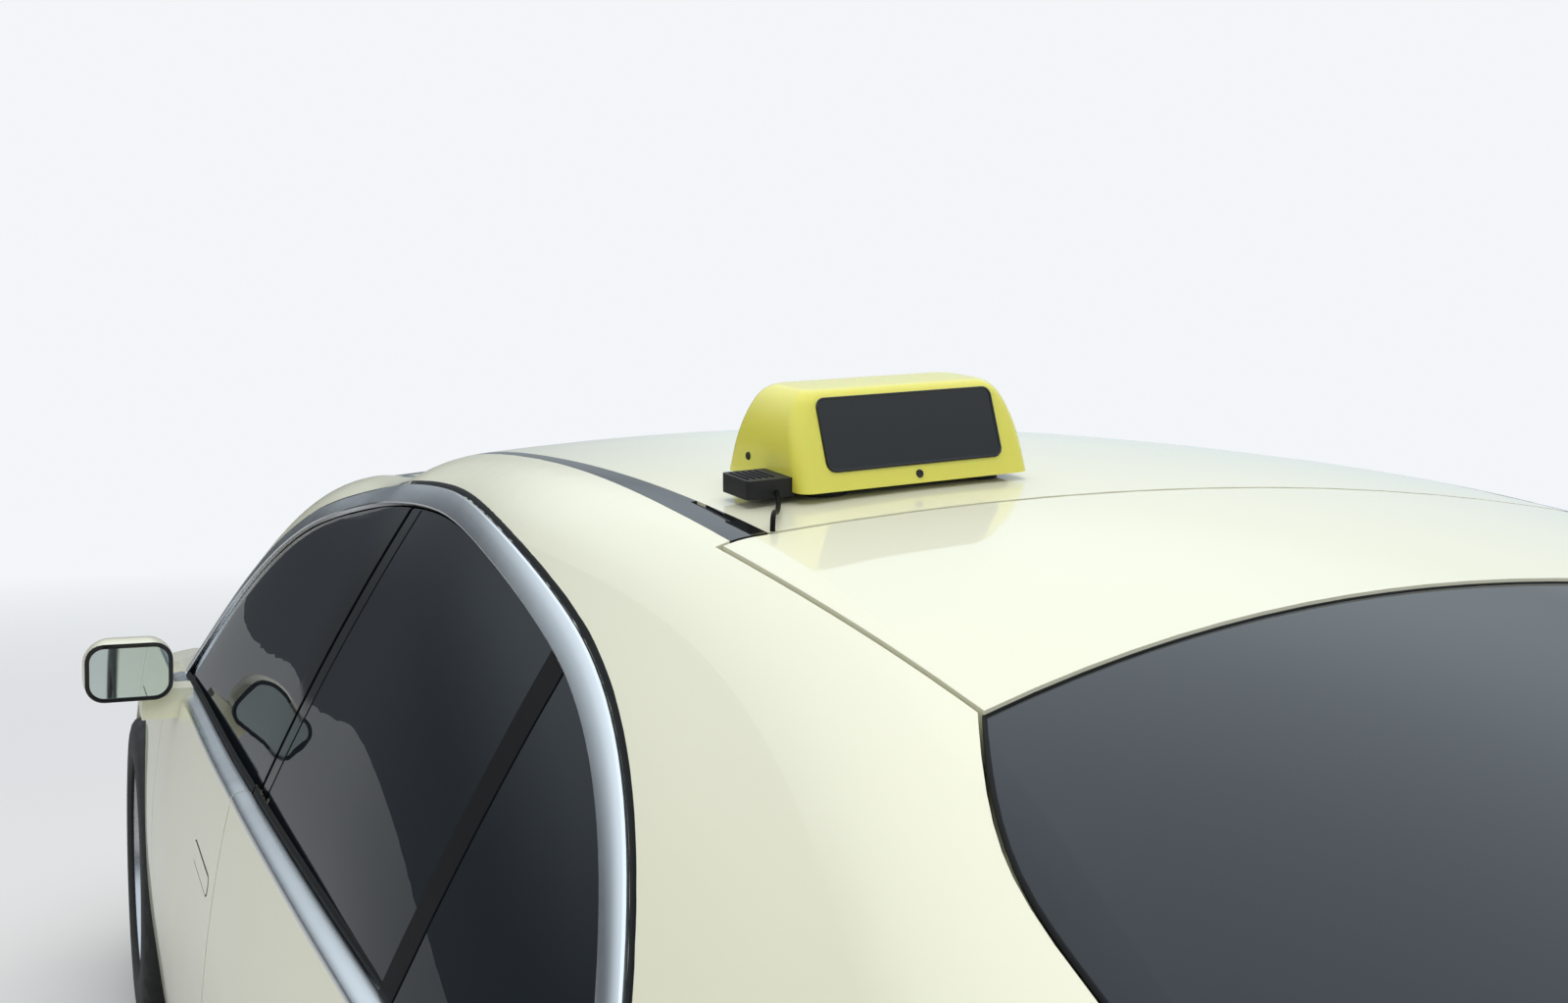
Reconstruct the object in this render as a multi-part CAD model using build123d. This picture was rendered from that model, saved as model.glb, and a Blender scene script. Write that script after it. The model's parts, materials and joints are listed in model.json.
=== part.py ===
from build123d import *
import os
from math import atan2, cos, hypot, pi, radians, sin, sqrt, tan

# A large liftback taxi with a one-bow roof, a framed side glass arch and a magnetic roof sign.
# +X is forward, +Y is left, +Z is up; the origin is on the ground under the middle of the car.

# Driving dimensions in millimetres
LENGTH = 5216
BODY_WIDTH = 1926
WHEELBASE = 3210
FRONT_OVERHANG = 865
TRACK = 1660
TYRE_RADIUS = 370
TYRE_WIDTH = 255
ARCH_GAP = 55            # tyre to wheel-arch lip
SHUT_GAP = 5.5           # between a moving panel and its neighbour
PANEL_GAP = 2.5          # between two fixed panels
SEAT_GAP = 0.3           # between a piece and what carries it
SKIN = 38                # roof, bonnet and tailgate thickness
DOOR_THICKNESS = 104
DOOR_SKIN = 30           # outer layer of a door, with the full outline
GLASS_DEPTH = 4          # side glass below the outer surface
GLASS_THICKNESS = 5
BELT_REAR_RISE = 0.0236  # rise of the window base line per millimetre rearwards
BELT_FRONT_X = 950
BELT_FRONT_Z = 965
SILL_Z = 245             # lower edge of the doors
FLOOR_TOP_Z = 310
CHROME_WIDTH = 26
CHROME_PROUD = 2.5

FRONT_AXLE_X = LENGTH / 2 - FRONT_OVERHANG
REAR_AXLE_X = FRONT_AXLE_X - WHEELBASE
WHEEL_Y = TRACK / 2
FRONT_ARCH_RADIUS = TYRE_RADIUS + ARCH_GAP
REAR_ARCH_RADIUS = TYRE_RADIUS + ARCH_GAP - 10

LEFT, RIGHT = 1, -1


def belt_z(x):
    """Height of the window base line in the cabin."""
    return BELT_FRONT_Z + (BELT_FRONT_X - x) * BELT_REAR_RISE


# Stations of the upper body. Columns: x, centre height, ditch half-width, crown drop,
# roof-edge rounding, belt half-width, belt height (None follows the window base line)
STATIONS = (
    (2750, 620, 560, 28, 70, 770, 560),
    (2350, 806, 640, 34, 70, 800, 745),
    (1950, 902, 700, 42, 70, 868, 852),
    (1550, 990, 715, 46, 80, 885, 920),
    (1250, 1100, 712, 56, 90, 886, 948),
    (900, 1310, 668, 54, 84, 884, None),
    (450, 1450, 612, 44, 70, 882, None),
    (0, 1496, 588, 40, 66, 883, None),
    (-400, 1514, 580, 38, 66, 885, None),
    (-850, 1488, 575, 38, 66, 885, None),
    (-1300, 1412, 575, 40, 72, 876, None),
    (-1700, 1302, 655, 44, 90, 852, None),
    (-2100, 1180, 700, 42, 70, 815, 1030),
    (-2400, 1110, 700, 38, 55, 772, 1018),
    (-2750, 1070, 672, 36, 46, 735, 1000),
)
SIDE_BOW = radians(4)    # bend of the side glass between its top and its base
LEDGE_SLOPE = 0.16       # fall of the shoulder from the glass base outwards
PAST_BODY_Y = 1200
BELOW_BODY_Z = -200

# Waterlines of the lower body. Columns: height, nose x, tail x, half-width
WATERLINES = (
    (150, 2500, -2520, 905),
    (330, 2575, -2585, 948),
    (600, LENGTH / 2 - 5, -LENGTH / 2, BODY_WIDTH / 2),
    (840, 2500, -2575, 944),
    (1120, 2250, -2470, 880),
)
NOSE_SAGITTA = 108
TAIL_SAGITTA = 128
SIDE_FRONT_DROP = 28
SIDE_REAR_DROP = 33
WIDEST_X = -75


def section(x, top, ditch_y, crown, rounding, belt_y, belt, inset, ledge):
    """Closed wire across the body at one station, moved inwards by inset.
    With ledge it spreads outwards below the glass, otherwise the glass line runs on down."""
    belt = belt_z(x) if belt is None else belt
    slope = 2 * crown / ditch_y
    run = hypot(1, slope)
    out = (1 / run, -slope / run)
    ditch = (ditch_y, top - crown)
    corner = (ditch[0] + rounding * out[0], ditch[1] + rounding * out[1])
    length = hypot(belt_y - corner[0], belt - corner[1])
    rounding = min(rounding, 0.6 * length)
    corner = (ditch[0] + rounding * out[0], ditch[1] + rounding * out[1])
    fall = atan2(belt - corner[1], belt_y - corner[0]) + SIDE_BOW * (length - rounding) / length
    glass_top = (corner[0] + rounding * cos(fall), corner[1] + rounding * sin(fall))
    chord = atan2(belt - glass_top[1], belt_y - glass_top[0])
    end = 2 * chord - fall

    def inwards(point, angle):
        return (point[0] + inset * sin(angle), point[1] - inset * cos(angle))

    ditch = inwards(ditch, atan2(-slope, 1))
    glass_top = inwards(glass_top, fall)
    base = inwards((belt_y, belt), end)
    if ledge:
        foot = (PAST_BODY_Y, base[1] - (PAST_BODY_Y - base[0]) * LEDGE_SLOPE)
    else:
        foot = (base[0] + 110 * cos(end), base[1] + 110 * sin(end))
    floor = (foot[0], BELOW_BODY_Z)

    def at(point, side=LEFT):
        return Vector(x, side * point[0], point[1])

    crown_arc = ThreePointArc(at(ditch, RIGHT), Vector(x, 0, top - inset), at(ditch))
    edge_arc = TangentArc(at(ditch), at(glass_top), tangent=(0, out[0], out[1]))
    side_arc = TangentArc(at(glass_top), at(base), tangent=(0, cos(fall), sin(fall)))
    return Wire([
        crown_arc,
        edge_arc,
        side_arc,
        Line(at(base), at(foot)),
        Line(at(foot), at(floor)),
        Line(at(floor), at(floor, RIGHT)),
        Line(at(floor, RIGHT), at(foot, RIGHT)),
        Line(at(foot, RIGHT), at(base, RIGHT)),
        side_arc.mirror(Plane.XZ),
        edge_arc.mirror(Plane.XZ),
    ])


def upper_form(inset=0, ledge=True):
    """Roof, screens, bonnet and deck as one solid form."""
    return Solid.make_loft([section(*row, inset, ledge) for row in STATIONS])


def waterline(z, nose, tail, half_width, inset):
    """Closed plan outline of the lower body at one height."""
    nose, tail, half_width = nose - inset, tail + inset, half_width - inset
    front = (nose - NOSE_SAGITTA, 0.644 * half_width)
    front_radius = (front[1] ** 2 + NOSE_SAGITTA ** 2) / (2 * NOSE_SAGITTA)
    front_turn = pi / 2 + atan2(front[1], front_radius - NOSE_SAGITTA)
    side_front_turn = radians(178.5)
    chord = (front_turn + side_front_turn) / 2
    side_y = half_width - SIDE_FRONT_DROP
    side_front = (front[0] + (side_y - front[1]) / tan(chord), side_y)
    rear = (tail + TAIL_SAGITTA, 0.623 * half_width)
    rear_radius = (rear[1] ** 2 + TAIL_SAGITTA ** 2) / (2 * TAIL_SAGITTA)
    rear_turn = 3 * pi / 2 - atan2(rear[1], rear_radius - TAIL_SAGITTA)
    side_rear_turn = radians(181.96)
    chord = (side_rear_turn + rear_turn) / 2
    side_y = half_width - SIDE_REAR_DROP
    side_rear = (rear[0] + (side_y - rear[1]) / tan(chord), side_y)
    widest = (WIDEST_X, half_width)

    def at(point, side=LEFT):
        return Vector(point[0], side * point[1], z)

    def heading(angle):
        return (cos(angle), sin(angle), 0)

    left = [
        TangentArc(at(front), at(side_front), tangent=heading(front_turn)),
        TangentArc(at(side_front), at(widest), tangent=heading(side_front_turn)),
        TangentArc(at(widest), at(side_rear), tangent=(-1, 0, 0)),
        TangentArc(at(side_rear), at(rear), tangent=heading(side_rear_turn)),
    ]
    right = [edge.mirror(Plane.XZ) for edge in reversed(left)]
    nose_arc = ThreePointArc(at(front, RIGHT), Vector(nose, 0, z), at(front))
    tail_arc = ThreePointArc(at(rear), Vector(tail, 0, z), at(rear, RIGHT))
    return Wire([nose_arc, *left, tail_arc, *right])


def lower_form(inset=0):
    """Sides, nose and tail below the glass, carried straight up past the roof."""
    rows = [waterline(*row, inset) for row in WATERLINES]
    sides = Solid.make_loft(rows)
    return sides + Solid.extrude(Face(rows[-1]), Vector(0, 0, 500))


def box(x, y, z):
    """Solid box from three (low, high) pairs."""
    size = (x[1] - x[0], y[1] - y[0], z[1] - z[0])
    return Pos(x[0], y[0], z[0]) * Box(*size, align=(Align.MIN, Align.MIN, Align.MIN))


def room(x=(-3000, 3000), y=(-1300, 1300), z=(-100, 1800)):
    """Box that is endless except in the given directions."""
    return box(x, y, z)


def rod(start, end, radius):
    """Round bar between two points."""
    start, end = Vector(*start), Vector(*end)
    line = end - start
    return Solid.make_cylinder(radius, line.length, Plane(origin=start, z_dir=line))


def across(edges, low=250, high=1250):
    """Extrudes a closed side-view outline across the left half of the car."""
    face = Face(edges if isinstance(edges, Wire) else Wire(edges))
    return Solid.extrude(face.moved(Location((0, low, 0))), Vector(0, high - low, 0))


def upwards(edges, low=-50, high=1700):
    """Extrudes a closed plan outline upwards."""
    face = Face(Wire(edges))
    return Solid.extrude(face.moved(Location((0, 0, low))), Vector(0, 0, high - low))


def lengthwise(width, z, radius, x=(2000, 3000)):
    """Extrudes a rounded rectangle, centred in the front view, along the car."""
    plane = Plane(origin=(x[0], 0, (z[0] + z[1]) / 2), z_dir=(1, 0, 0), x_dir=(0, 1, 0))
    return extrude(plane * RectangleRounded(width, z[1] - z[0], radius), x[1] - x[0])


def side(x, z):
    return Vector(x, 0, z)


def polygon(points):
    """Closed wire of straight edges."""
    return Wire([Line(a, b) for a, b in zip(points, [*points[1:], points[0]])])


def grown(wire, distance):
    """The same flat outline moved outwards by a distance, or inwards when negative."""
    return wire.offset_2d(distance, kind=Kind.INTERSECTION)


def mirrored(shape):
    return shape.mirror(Plane.XZ)


def save(name, shape):
    export_step(shape, "parts/" + name + ".step")
    return shape


# Side windows in the side view
WINDOW_FRONT = (1070, belt_z(1070) + 2)
WINDOW_A_TOP = (450, 1328)
WINDOW_APEX = (-230, 1400)
WINDOW_C_TOP = (-860, 1322)
WINDOW_REAR = (-1400, belt_z(-1400) + 7)
WINDOW_GAP = 6           # door glass to the window frame
WINDOW_FLANGE = 15       # frame reaching behind the glass edge
FLANGE_DEPTH = 16
GLASS_PLUNGE = 60        # how far the door glass reaches down into the door
SLOT_FRONT_X = WINDOW_FRONT[0] - 75
SLOT_REAR_X = WINDOW_REAR[0] + 70
PILLAR_LEAN = 0.138      # the door split leans back above the window base

DOOR_FRONT_X = 1100
DOOR_SPLIT_X = -34
DOOR_TIP = (-1500, belt_z(-1500) + 4)
DOOR_WHEEL_RADIUS = REAR_ARCH_RADIUS + 40
DOOR_INSET = 15          # inner box of a door inside its outline
PILLAR_INSET = 67
PILLAR_DEPTH = 40


def window_wire():
    """Outline of the whole side window."""
    front = side(*WINDOW_FRONT)
    rear = side(*WINDOW_REAR)
    arch_front = TangentArc(side(*WINDOW_APEX), side(*WINDOW_A_TOP), tangent=(1, 0, 0))
    rail = TangentArc(side(*WINDOW_A_TOP), front, tangent=tuple(arch_front % 1))
    arch_rear = TangentArc(side(*WINDOW_APEX), side(*WINDOW_C_TOP), tangent=(-1, 0, 0))
    tail = TangentArc(side(*WINDOW_C_TOP), rear, tangent=tuple(arch_rear % 1))
    return Wire([rail, arch_front, arch_rear, tail, Line(rear, front)])


def front_door_wire():
    rear_x = DOOR_SPLIT_X + SHUT_GAP / 2
    return polygon([
        side(DOOR_FRONT_X, belt_z(DOOR_FRONT_X)),
        side(rear_x, belt_z(rear_x)),
        side(rear_x, SILL_Z),
        side(DOOR_FRONT_X, SILL_Z),
    ])


def rear_door_wire():
    front_x = DOOR_SPLIT_X - SHUT_GAP / 2
    drop = TYRE_RADIUS - SILL_Z
    low = -atan2(drop, sqrt(DOOR_WHEEL_RADIUS ** 2 - drop ** 2))
    high = radians(55)

    def on_arc(turn):
        return side(REAR_AXLE_X + DOOR_WHEEL_RADIUS * cos(turn), TYRE_RADIUS + DOOR_WHEEL_RADIUS * sin(turn))

    start, end = on_arc(low), on_arc(high)
    tip = side(*DOOR_TIP)
    return Wire([
        Line(tip, side(front_x, belt_z(front_x))),
        Line(side(front_x, belt_z(front_x)), side(front_x, SILL_Z)),
        Line(side(front_x, SILL_Z), start),
        ThreePointArc(start, on_arc((low + high) / 2), end),
        TangentArc(end, tip, tangent=(-sin(high), 0, cos(high))),
    ])


# Plan lines of the top panels
DITCH = [(row[0], row[2]) for row in STATIONS]
BONNET_REAR_X = 1290
BONNET_FRONT_X = 2470
BONNET_CORNER = (2345, 645)
SCREEN_BASE_X = 1250
SCREEN_TOP_X = 330
SCREEN_LAP = 35          # glass lying over its frame
TAILGATE_FRONT_X = -990
TAILGATE_LOW_Z = 720
# Plan of the tailgate's left edge: a straight stretch beside the roof, then along the glass
TAILGATE_SHOULDER = ((-900, 602), (-1388, 577))
TAILGATE_FLANK = (
    (-1388, 577), (-1463, 620), (-1535, 652), (-1655, 676), (-1900, 708), (-2130, 720),
    (-2280, 706), (-2430, 672), (-2700, 640),
)
REAR_GLASS_TOP = (-1388, -1312, 577)    # x at its corner, x at the middle, y of its corner
REAR_GLASS_LOW = (-2105, -2190, 720)
# Half width of the trim over the ditch. Columns: x, half-width
TRIM_HALVES = ((330, 7), (-400, 9), (-850, 17), (TAILGATE_FRONT_X, 22))
TRIM_SLOT = ((-930, -835), 562, 8, 3)   # x from and to, middle y, width, depth


def trim_half(x):
    """Half width of the ditch trim at one place along the car."""
    for (front, wide), (rear, wider) in zip(TRIM_HALVES, TRIM_HALVES[1:]):
        if x > rear:
            return wide + (wider - wide) * (front - min(x, front)) / (front - rear)
    return TRIM_HALVES[-1][1]


def strip(stretches, front, rear, shift):
    """Plan prism between a left edge and its mirror image, from x=rear to x=front.
    The edge is widened by shift, a number or a function of x."""
    spread = shift if callable(shift) else lambda x: shift

    def edges(hand):
        for stretch in stretches:
            points = [Vector(x, hand * (y + spread(x)), 0) for x, y in stretch]
            yield Line(*points) if len(points) == 2 else Spline(points)

    left, right = list(edges(LEFT)), list(edges(RIGHT))
    ends = [Line(left[0] @ 0, right[0] @ 0), Line(left[-1] @ 1, right[-1] @ 1)]
    return upwards([*left, *right, *ends]) & room(x=(rear, front))


def ditch_strip(front, rear, shift):
    """Plan prism between the ditches beside the roof and the bonnet."""
    return strip([DITCH], front, rear, shift)


def tail_strip(front, rear, shift):
    """Plan prism between the side edges of the tailgate."""
    return strip([TAILGATE_SHOULDER, TAILGATE_FLANK], front, rear, shift)


def arc_ahead(corner_x, middle_x, corner_y, half=1000):
    """Plan prism of everything ahead of an arc through a middle and two corners."""
    arc = ThreePointArc(Vector(corner_x, -corner_y, 0), Vector(middle_x, 0, 0), Vector(corner_x, corner_y, 0))
    far = 4000
    points = [arc @ 1, Vector(corner_x, half, 0), Vector(far, half, 0), Vector(far, -half, 0),
              Vector(corner_x, -half, 0), arc @ 0]
    return upwards([arc] + [Line(a, b) for a, b in zip(points, points[1:])])


def quad(corners, low=400):
    """Prism across the left half from four side-view corners."""
    return across(polygon([side(*corner) for corner in corners]), low)


def above_line(lift=0):
    """Everything of the left half above the window base line."""
    return quad([(3000, belt_z(3000) + lift), (-3000, belt_z(-3000) + lift), (-3000, 2000), (3000, 2000)], 200)


# Wheels and chassis
RIM_RADIUS = 262
RIM_FACE_RADIUS = 236
HUB_FACE_Y = 745
HUB_RADIUS = 62
DISC_RADIUS = 172
SPOKES = 5
WHEELS = (
    ("fl", FRONT_AXLE_X, LEFT),
    ("fr", FRONT_AXLE_X, RIGHT),
    ("rl", REAR_AXLE_X, LEFT),
    ("rr", REAR_AXLE_X, RIGHT),
)
# Openings of one spoke pitch. Columns: turn of its middle, inner radius, outer radius, half angles, rounding
RIM_WINDOWS = ((0, 104, 224, 15, 23, 11), (36, 128, 220, 2.2, 4.2, 3))
FRONT_LINER_Y = 449
REAR_LINER_Y = 630
LINER_OUT_Y = 870
LINER = 6
LINER_LIP = 3            # liner outside the arch lip
ARM_LOW_Z = (196, 229.7)
ARM_HIGH_Z = (500.3, 530)
ARM_END_Y = HUB_FACE_Y - 39   # short of the brake disc at full lock
UPRIGHT_Y = (690, HUB_FACE_Y - 8)
BEAM_HALF_X = 190
BEAM_HALF_Y = FRONT_LINER_Y - 1
BEAM_TOP_Z = 260
BEAM_DEPTH = 80


def ring(points, x):
    """Solid of revolution about a wheel axis from (radius, y) points."""
    outline = polygon([Vector(0, y, r) for r, y in points])
    solid = Solid.revolve(Face(outline), 360, Axis((0, 0, 0), (0, 1, 0)))
    return solid.moved(Location((x, 0, TYRE_RADIUS)))


def rim_window(inner, outer, half_inner, half_outer, rounding):
    """Prism of the opening between two spokes, about the wheel axis."""
    def at(radius, turn):
        return side(radius * cos(radians(turn)), radius * sin(radians(turn)))

    outline = Wire([
        ThreePointArc(at(outer, -half_outer), at(outer, 0), at(outer, half_outer)),
        Line(at(outer, half_outer), at(inner, half_inner)),
        ThreePointArc(at(inner, half_inner), at(inner, 0), at(inner, -half_inner)),
        Line(at(inner, -half_inner), at(outer, -half_outer)),
    ])
    face = Face(outline)
    face = face.fillet_2d(rounding, face.vertices())
    return Solid.extrude(face.moved(Location((0, 830, 0))), Vector(0, 200, 0))


def build_tyre(x, inner_y, outer_y):
    return ring([
        (RIM_RADIUS, inner_y + 18), (300, inner_y), (345, inner_y + 6), (364, inner_y + 24),
        (TYRE_RADIUS, inner_y + 60), (TYRE_RADIUS, outer_y - 60), (364, outer_y - 24),
        (345, outer_y - 6), (300, outer_y), (RIM_RADIUS, outer_y - 18),
    ], x)


def build_rim(x, inner_y, outer_y):
    """Barrel, spoked face, brake disc and hub as one turning piece."""
    barrel = ring([
        (RIM_RADIUS - SEAT_GAP, inner_y + 14), (RIM_RADIUS - SEAT_GAP, outer_y - 14),
        (246, outer_y - 14), (228, outer_y - 60), (228, inner_y + 40), (240, inner_y + 14),
    ], x)
    face = ring([
        (0, outer_y - 40), (46, outer_y - 34), (110, outer_y - 42), (RIM_FACE_RADIUS, outer_y - 26),
        (RIM_FACE_RADIUS, outer_y - 60), (150, outer_y - 68), (60, outer_y - 66), (60, 790), (0, 790),
    ], x)
    windows = []
    for i in range(SPOKES):
        for turn, *sizes in RIM_WINDOWS:
            spin = 360 * i / SPOKES + turn + 90
            windows.append(Pos(x, 0, TYRE_RADIUS) * Rot(0, spin, 0) * rim_window(*sizes))
    disc = rod((x, HUB_FACE_Y + 7, TYRE_RADIUS), (x, HUB_FACE_Y + 33, TYRE_RADIUS), DISC_RADIUS)
    hub = rod((x, HUB_FACE_Y, TYRE_RADIUS), (x, 800, TYRE_RADIUS), HUB_RADIUS)
    return barrel + [face - windows, disc, hub]


def build_wheels():
    outer_y = WHEEL_Y + TYRE_WIDTH / 2
    inner_y = WHEEL_Y - TYRE_WIDTH / 2
    for axle_x in (FRONT_AXLE_X, REAR_AXLE_X):
        tyre = build_tyre(axle_x, inner_y, outer_y)
        rim = build_rim(axle_x, inner_y, outer_y)
        for name, x, hand in WHEELS:
            if x == axle_x:
                save("tyre_" + name, tyre if hand == LEFT else mirrored(tyre))
                save("rim_" + name, rim if hand == LEFT else mirrored(rim))


def build_chassis():
    """Subframes with their arms, and the steered knuckles."""
    for node, x, liner_y in (("front", FRONT_AXLE_X, FRONT_LINER_Y), ("rear", REAR_AXLE_X, REAR_LINER_Y)):
        post_y = liner_y + LINER + 2
        upright = box((x - 55, x + 55), UPRIGHT_Y, (ARM_LOW_Z[1] + SEAT_GAP, ARM_HIGH_Z[0] - SEAT_GAP))
        upright = upright + rod((x, 715, TYRE_RADIUS), (x, HUB_FACE_Y - SEAT_GAP, TYRE_RADIUS), HUB_RADIUS - 4)
        beam_z = (BEAM_TOP_Z - BEAM_DEPTH, BEAM_TOP_Z)
        beam = box((x - BEAM_HALF_X, x + BEAM_HALF_X), (-BEAM_HALF_Y, BEAM_HALF_Y), beam_z)
        arms = [
            box((x - 45, x + 45), (BEAM_HALF_Y - 20, ARM_END_Y), ARM_LOW_Z),
            box((x - 35, x + 35), (post_y, ARM_END_Y), ARM_HIGH_Z),
            box((x - 35, x + 35), (post_y, post_y + 30), (ARM_LOW_Z[0], ARM_HIGH_Z[1])),
        ]
        if node == "front":
            save("knuckle_front_left", upright)
            save("knuckle_front_right", mirrored(upright))
        else:
            arms.append(upright)
            arms.append(box((x - 40, x + 40), UPRIGHT_Y, (ARM_LOW_Z[0], ARM_HIGH_Z[1])))
        save("subframe_" + node, beam + arms + [mirrored(a) for a in arms])


def build_wells():
    """Wheel-arch openings with room for the liners, and the liners themselves."""
    wells = []
    for name, x, radius, inner in (("f", FRONT_AXLE_X, FRONT_ARCH_RADIUS, FRONT_LINER_Y),
                                   ("r", REAR_AXLE_X, REAR_ARCH_RADIUS, REAR_LINER_Y)):
        wide = radius + LINER_LIP + LINER
        low, high = (x, inner, TYRE_RADIUS), (x, LINER_OUT_Y, TYRE_RADIUS)
        wells.append(rod(low, (x, 1200, TYRE_RADIUS), radius))
        wells.append(rod((x, inner - SEAT_GAP, TYRE_RADIUS), high, wide + SEAT_GAP))
        tube = rod(low, (x, LINER_OUT_Y - SEAT_GAP, TYRE_RADIUS), wide)
        tube = tube - rod((x, inner + LINER, TYRE_RADIUS), (x, 1200, TYRE_RADIUS), radius + LINER_LIP)
        liner = tube - room(z=(-300, BEAM_TOP_Z))
        save("wheel_liner_" + name + "l", liner)
        save("wheel_liner_" + name + "r", mirrored(liner))
    return wells


# Cabin furniture
SEAT_Y = 380
SEAT_HALF = 255
BENCH_HALF = 600
REST_HALF = 130
WHEEL_CENTRE = (700, 380, 850)
COLUMN_TILT = 25
COLUMN_LENGTH = 240
FIREWALL_X = (1200, 1240)
LUGGAGE_FLOOR_Z = (600, 612)
SHELF_Z = (950, 962)


def slab(points, y):
    """Side-view polygon given as (x, z) points, extruded between two y values."""
    return across(polygon([side(*point) for point in points]), *y)


def build_seats():
    low = FLOOR_TOP_Z + SEAT_GAP
    seats = []
    for y in (SEAT_Y, -SEAT_Y):
        span = (y - SEAT_HALF, y + SEAT_HALF)
        cushion = slab([(150, low), (560, low), (580, 500), (200, 470), (60, 520), (80, low)], span)
        back = slab([(60, 500), (180, 470), (20, 1010), (-60, 1005), (-60, 980)], (span[0] + 20, span[1] - 20))
        rest = slab([(-55, 1000), (15, 1000), (-10, 1150), (-90, 1145)], (y - REST_HALF, y + REST_HALF))
        seats.append(cushion + [back, rest])
    save("front_seats", Compound(seats))
    across_car = (-BENCH_HALF, BENCH_HALF)
    bench = slab([(-520, low), (-500, 500), (-900, 470), (-1010, 520), (-1100, low)], across_car)
    back = slab([(-900, 470), (-1020, 400), (-1180, 960), (-1120, 985)], across_car)
    rests = [slab([(-1120, 975), (-1175, 955), (-1215, 1090), (-1150, 1100)], (y - REST_HALF, y + REST_HALF))
             for y in (-SEAT_Y, SEAT_Y)]
    save("rear_bench", bench + [back] + rests)


def build_cabin(hollow, wells, column):
    low = FLOOR_TOP_Z + SEAT_GAP
    build_seats()
    dash = slab([(1190, 980), (1190, 640), (1020, 600), (900, 700), (880, 870), (960, 950)], (-740, 740))
    console = slab([(1100, low), (1100, 700), (960, 700), (860, 560), (620, 520), (620, low)], (-110, 110))
    save("dashboard", dash + [console, column])
    save("firewall", hollow & room(x=FIREWALL_X, z=(low, 1300)))
    deck = hollow & room(x=(-2330, -1190), z=LUGGAGE_FLOOR_Z)
    save("luggage_floor", deck - wells - [mirrored(well) for well in wells])
    shelf = hollow & room(x=(-1960, -1260), z=SHELF_Z)
    beside_doors = room(x=(DOOR_TIP[0] - 15, 3000)) - lower_form(DOOR_THICKNESS + 8)
    save("parcel_shelf", shelf - beside_doors)
    for node, x in (("front", FRONT_AXLE_X), ("rear", REAR_AXLE_X)):
        save("drive_unit_" + node, box((x - 170, x + 170), (-300, 300), (low, 590)))


def build_steering_wheel():
    tilt = radians(COLUMN_TILT)
    plane = Plane(origin=WHEEL_CENTRE, z_dir=(-cos(tilt), 0, sin(tilt)), x_dir=(0, 1, 0))
    rim = Solid.make_torus(178, 15, plane)
    hub = Solid.make_cylinder(62, 40, plane.offset(-30))
    spokes = [plane.location * (Rot(0, 0, spin) * Pos(110, 0, -5) * Box(120, 34, 14)) for spin in (0, 90, 180)]
    save("steering_wheel", rim + [hub] + spokes)
    return Solid.make_cylinder(32, COLUMN_LENGTH, plane.offset(-30 - SEAT_GAP - COLUMN_LENGTH))


# Roof sign: it stands left of the middle and lies as the roof slopes there
SIGN_CENTRE = (-831, 345)
SIGN_TURN = 3
SIGN_DEPTH = 147
SIGN_WIDTH = 270
SIGN_HEIGHT = 95
SIGN_LEAN = 23           # front and rear face, base to top
SIGN_END_IN = 36         # each end, base to top
SIGN_PANEL = (222, 68, 11, 1.5)   # width, height, corner radius, how proud it stands
SIGN_PANEL_Z = 52        # middle of the panel above the housing's base
TRAY_LOW = 5
TRAY_HEIGHT = 9
MAGNET_RADIUS = 24
PLUG_X = (-62, -4)
PLUG_REACH = 57          # plug block beyond the housing's end
PLUG_Z = (3, 22)
CABLE_RADIUS = 2.5
CABLE_PLAN = ((-918, 508), (-938, 518), (-957, 529), (-973, 539), (-987.25, 547), (-987.25, 547))
CABLE_LIFT = (7.5, 6.5, 8.5, 15, 12.5, 0.6)   # above the roof at those places


def roof_height(outer, x, y):
    line = Edge.make_line((x, y, 1700), (x, y, 1300))
    return (outer & line).bounding_box().max.Z


def roof_plane(outer):
    """Plane that touches the roof under the middle of the sign and turns with the sign."""
    x, y = SIGN_CENTRE
    reach = SIGN_DEPTH / 2
    here, ahead, behind, left, right = (
        Vector(x + dx, y + dy, roof_height(outer, x + dx, y + dy))
        for dx, dy in ((0, 0), (reach, 0), (-reach, 0), (0, reach), (0, -reach)))
    plane = Plane(origin=here, x_dir=ahead - behind, z_dir=(ahead - behind).cross(left - right))
    return plane.rotated((0, 0, SIGN_TURN))


def sign_level(height):
    """Rounded rectangle of the housing at one height above its base."""
    share = height / SIGN_HEIGHT
    depth = SIGN_DEPTH - 2 * SIGN_LEAN * share
    width = SIGN_WIDTH - 2 * SIGN_END_IN * share ** 1.6
    return Pos(0, 0, height) * RectangleRounded(depth, width, 28 + 12 * share)


def sign_housing(base_z):
    levels = [sign_level(SIGN_HEIGHT * share).face().outer_wire() for share in (0, 0.35, 0.7, 1)]
    housing = Solid.make_loft(levels)
    top = housing.faces().sort_by(Axis.Z)[-1]
    return Pos(0, 0, base_z) * fillet(top.edges(), 13)


def sign_panels(base_z):
    """Dark panels in the front and rear face."""
    width, height, radius, proud = SIGN_PANEL
    lean = atan2(SIGN_LEAN, SIGN_HEIGHT)
    panels = []
    for hand in (1, -1):
        x = hand * (SIGN_DEPTH / 2 - SIGN_LEAN * SIGN_PANEL_Z / SIGN_HEIGHT)
        plane = Plane(origin=(x, 0, base_z + SIGN_PANEL_Z), z_dir=(hand * cos(lean), 0, sin(lean)), x_dir=(0, 1, 0))
        panels.append(extrude(plane * RectangleRounded(width, height, radius), proud, both=True))
    return panels


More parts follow.
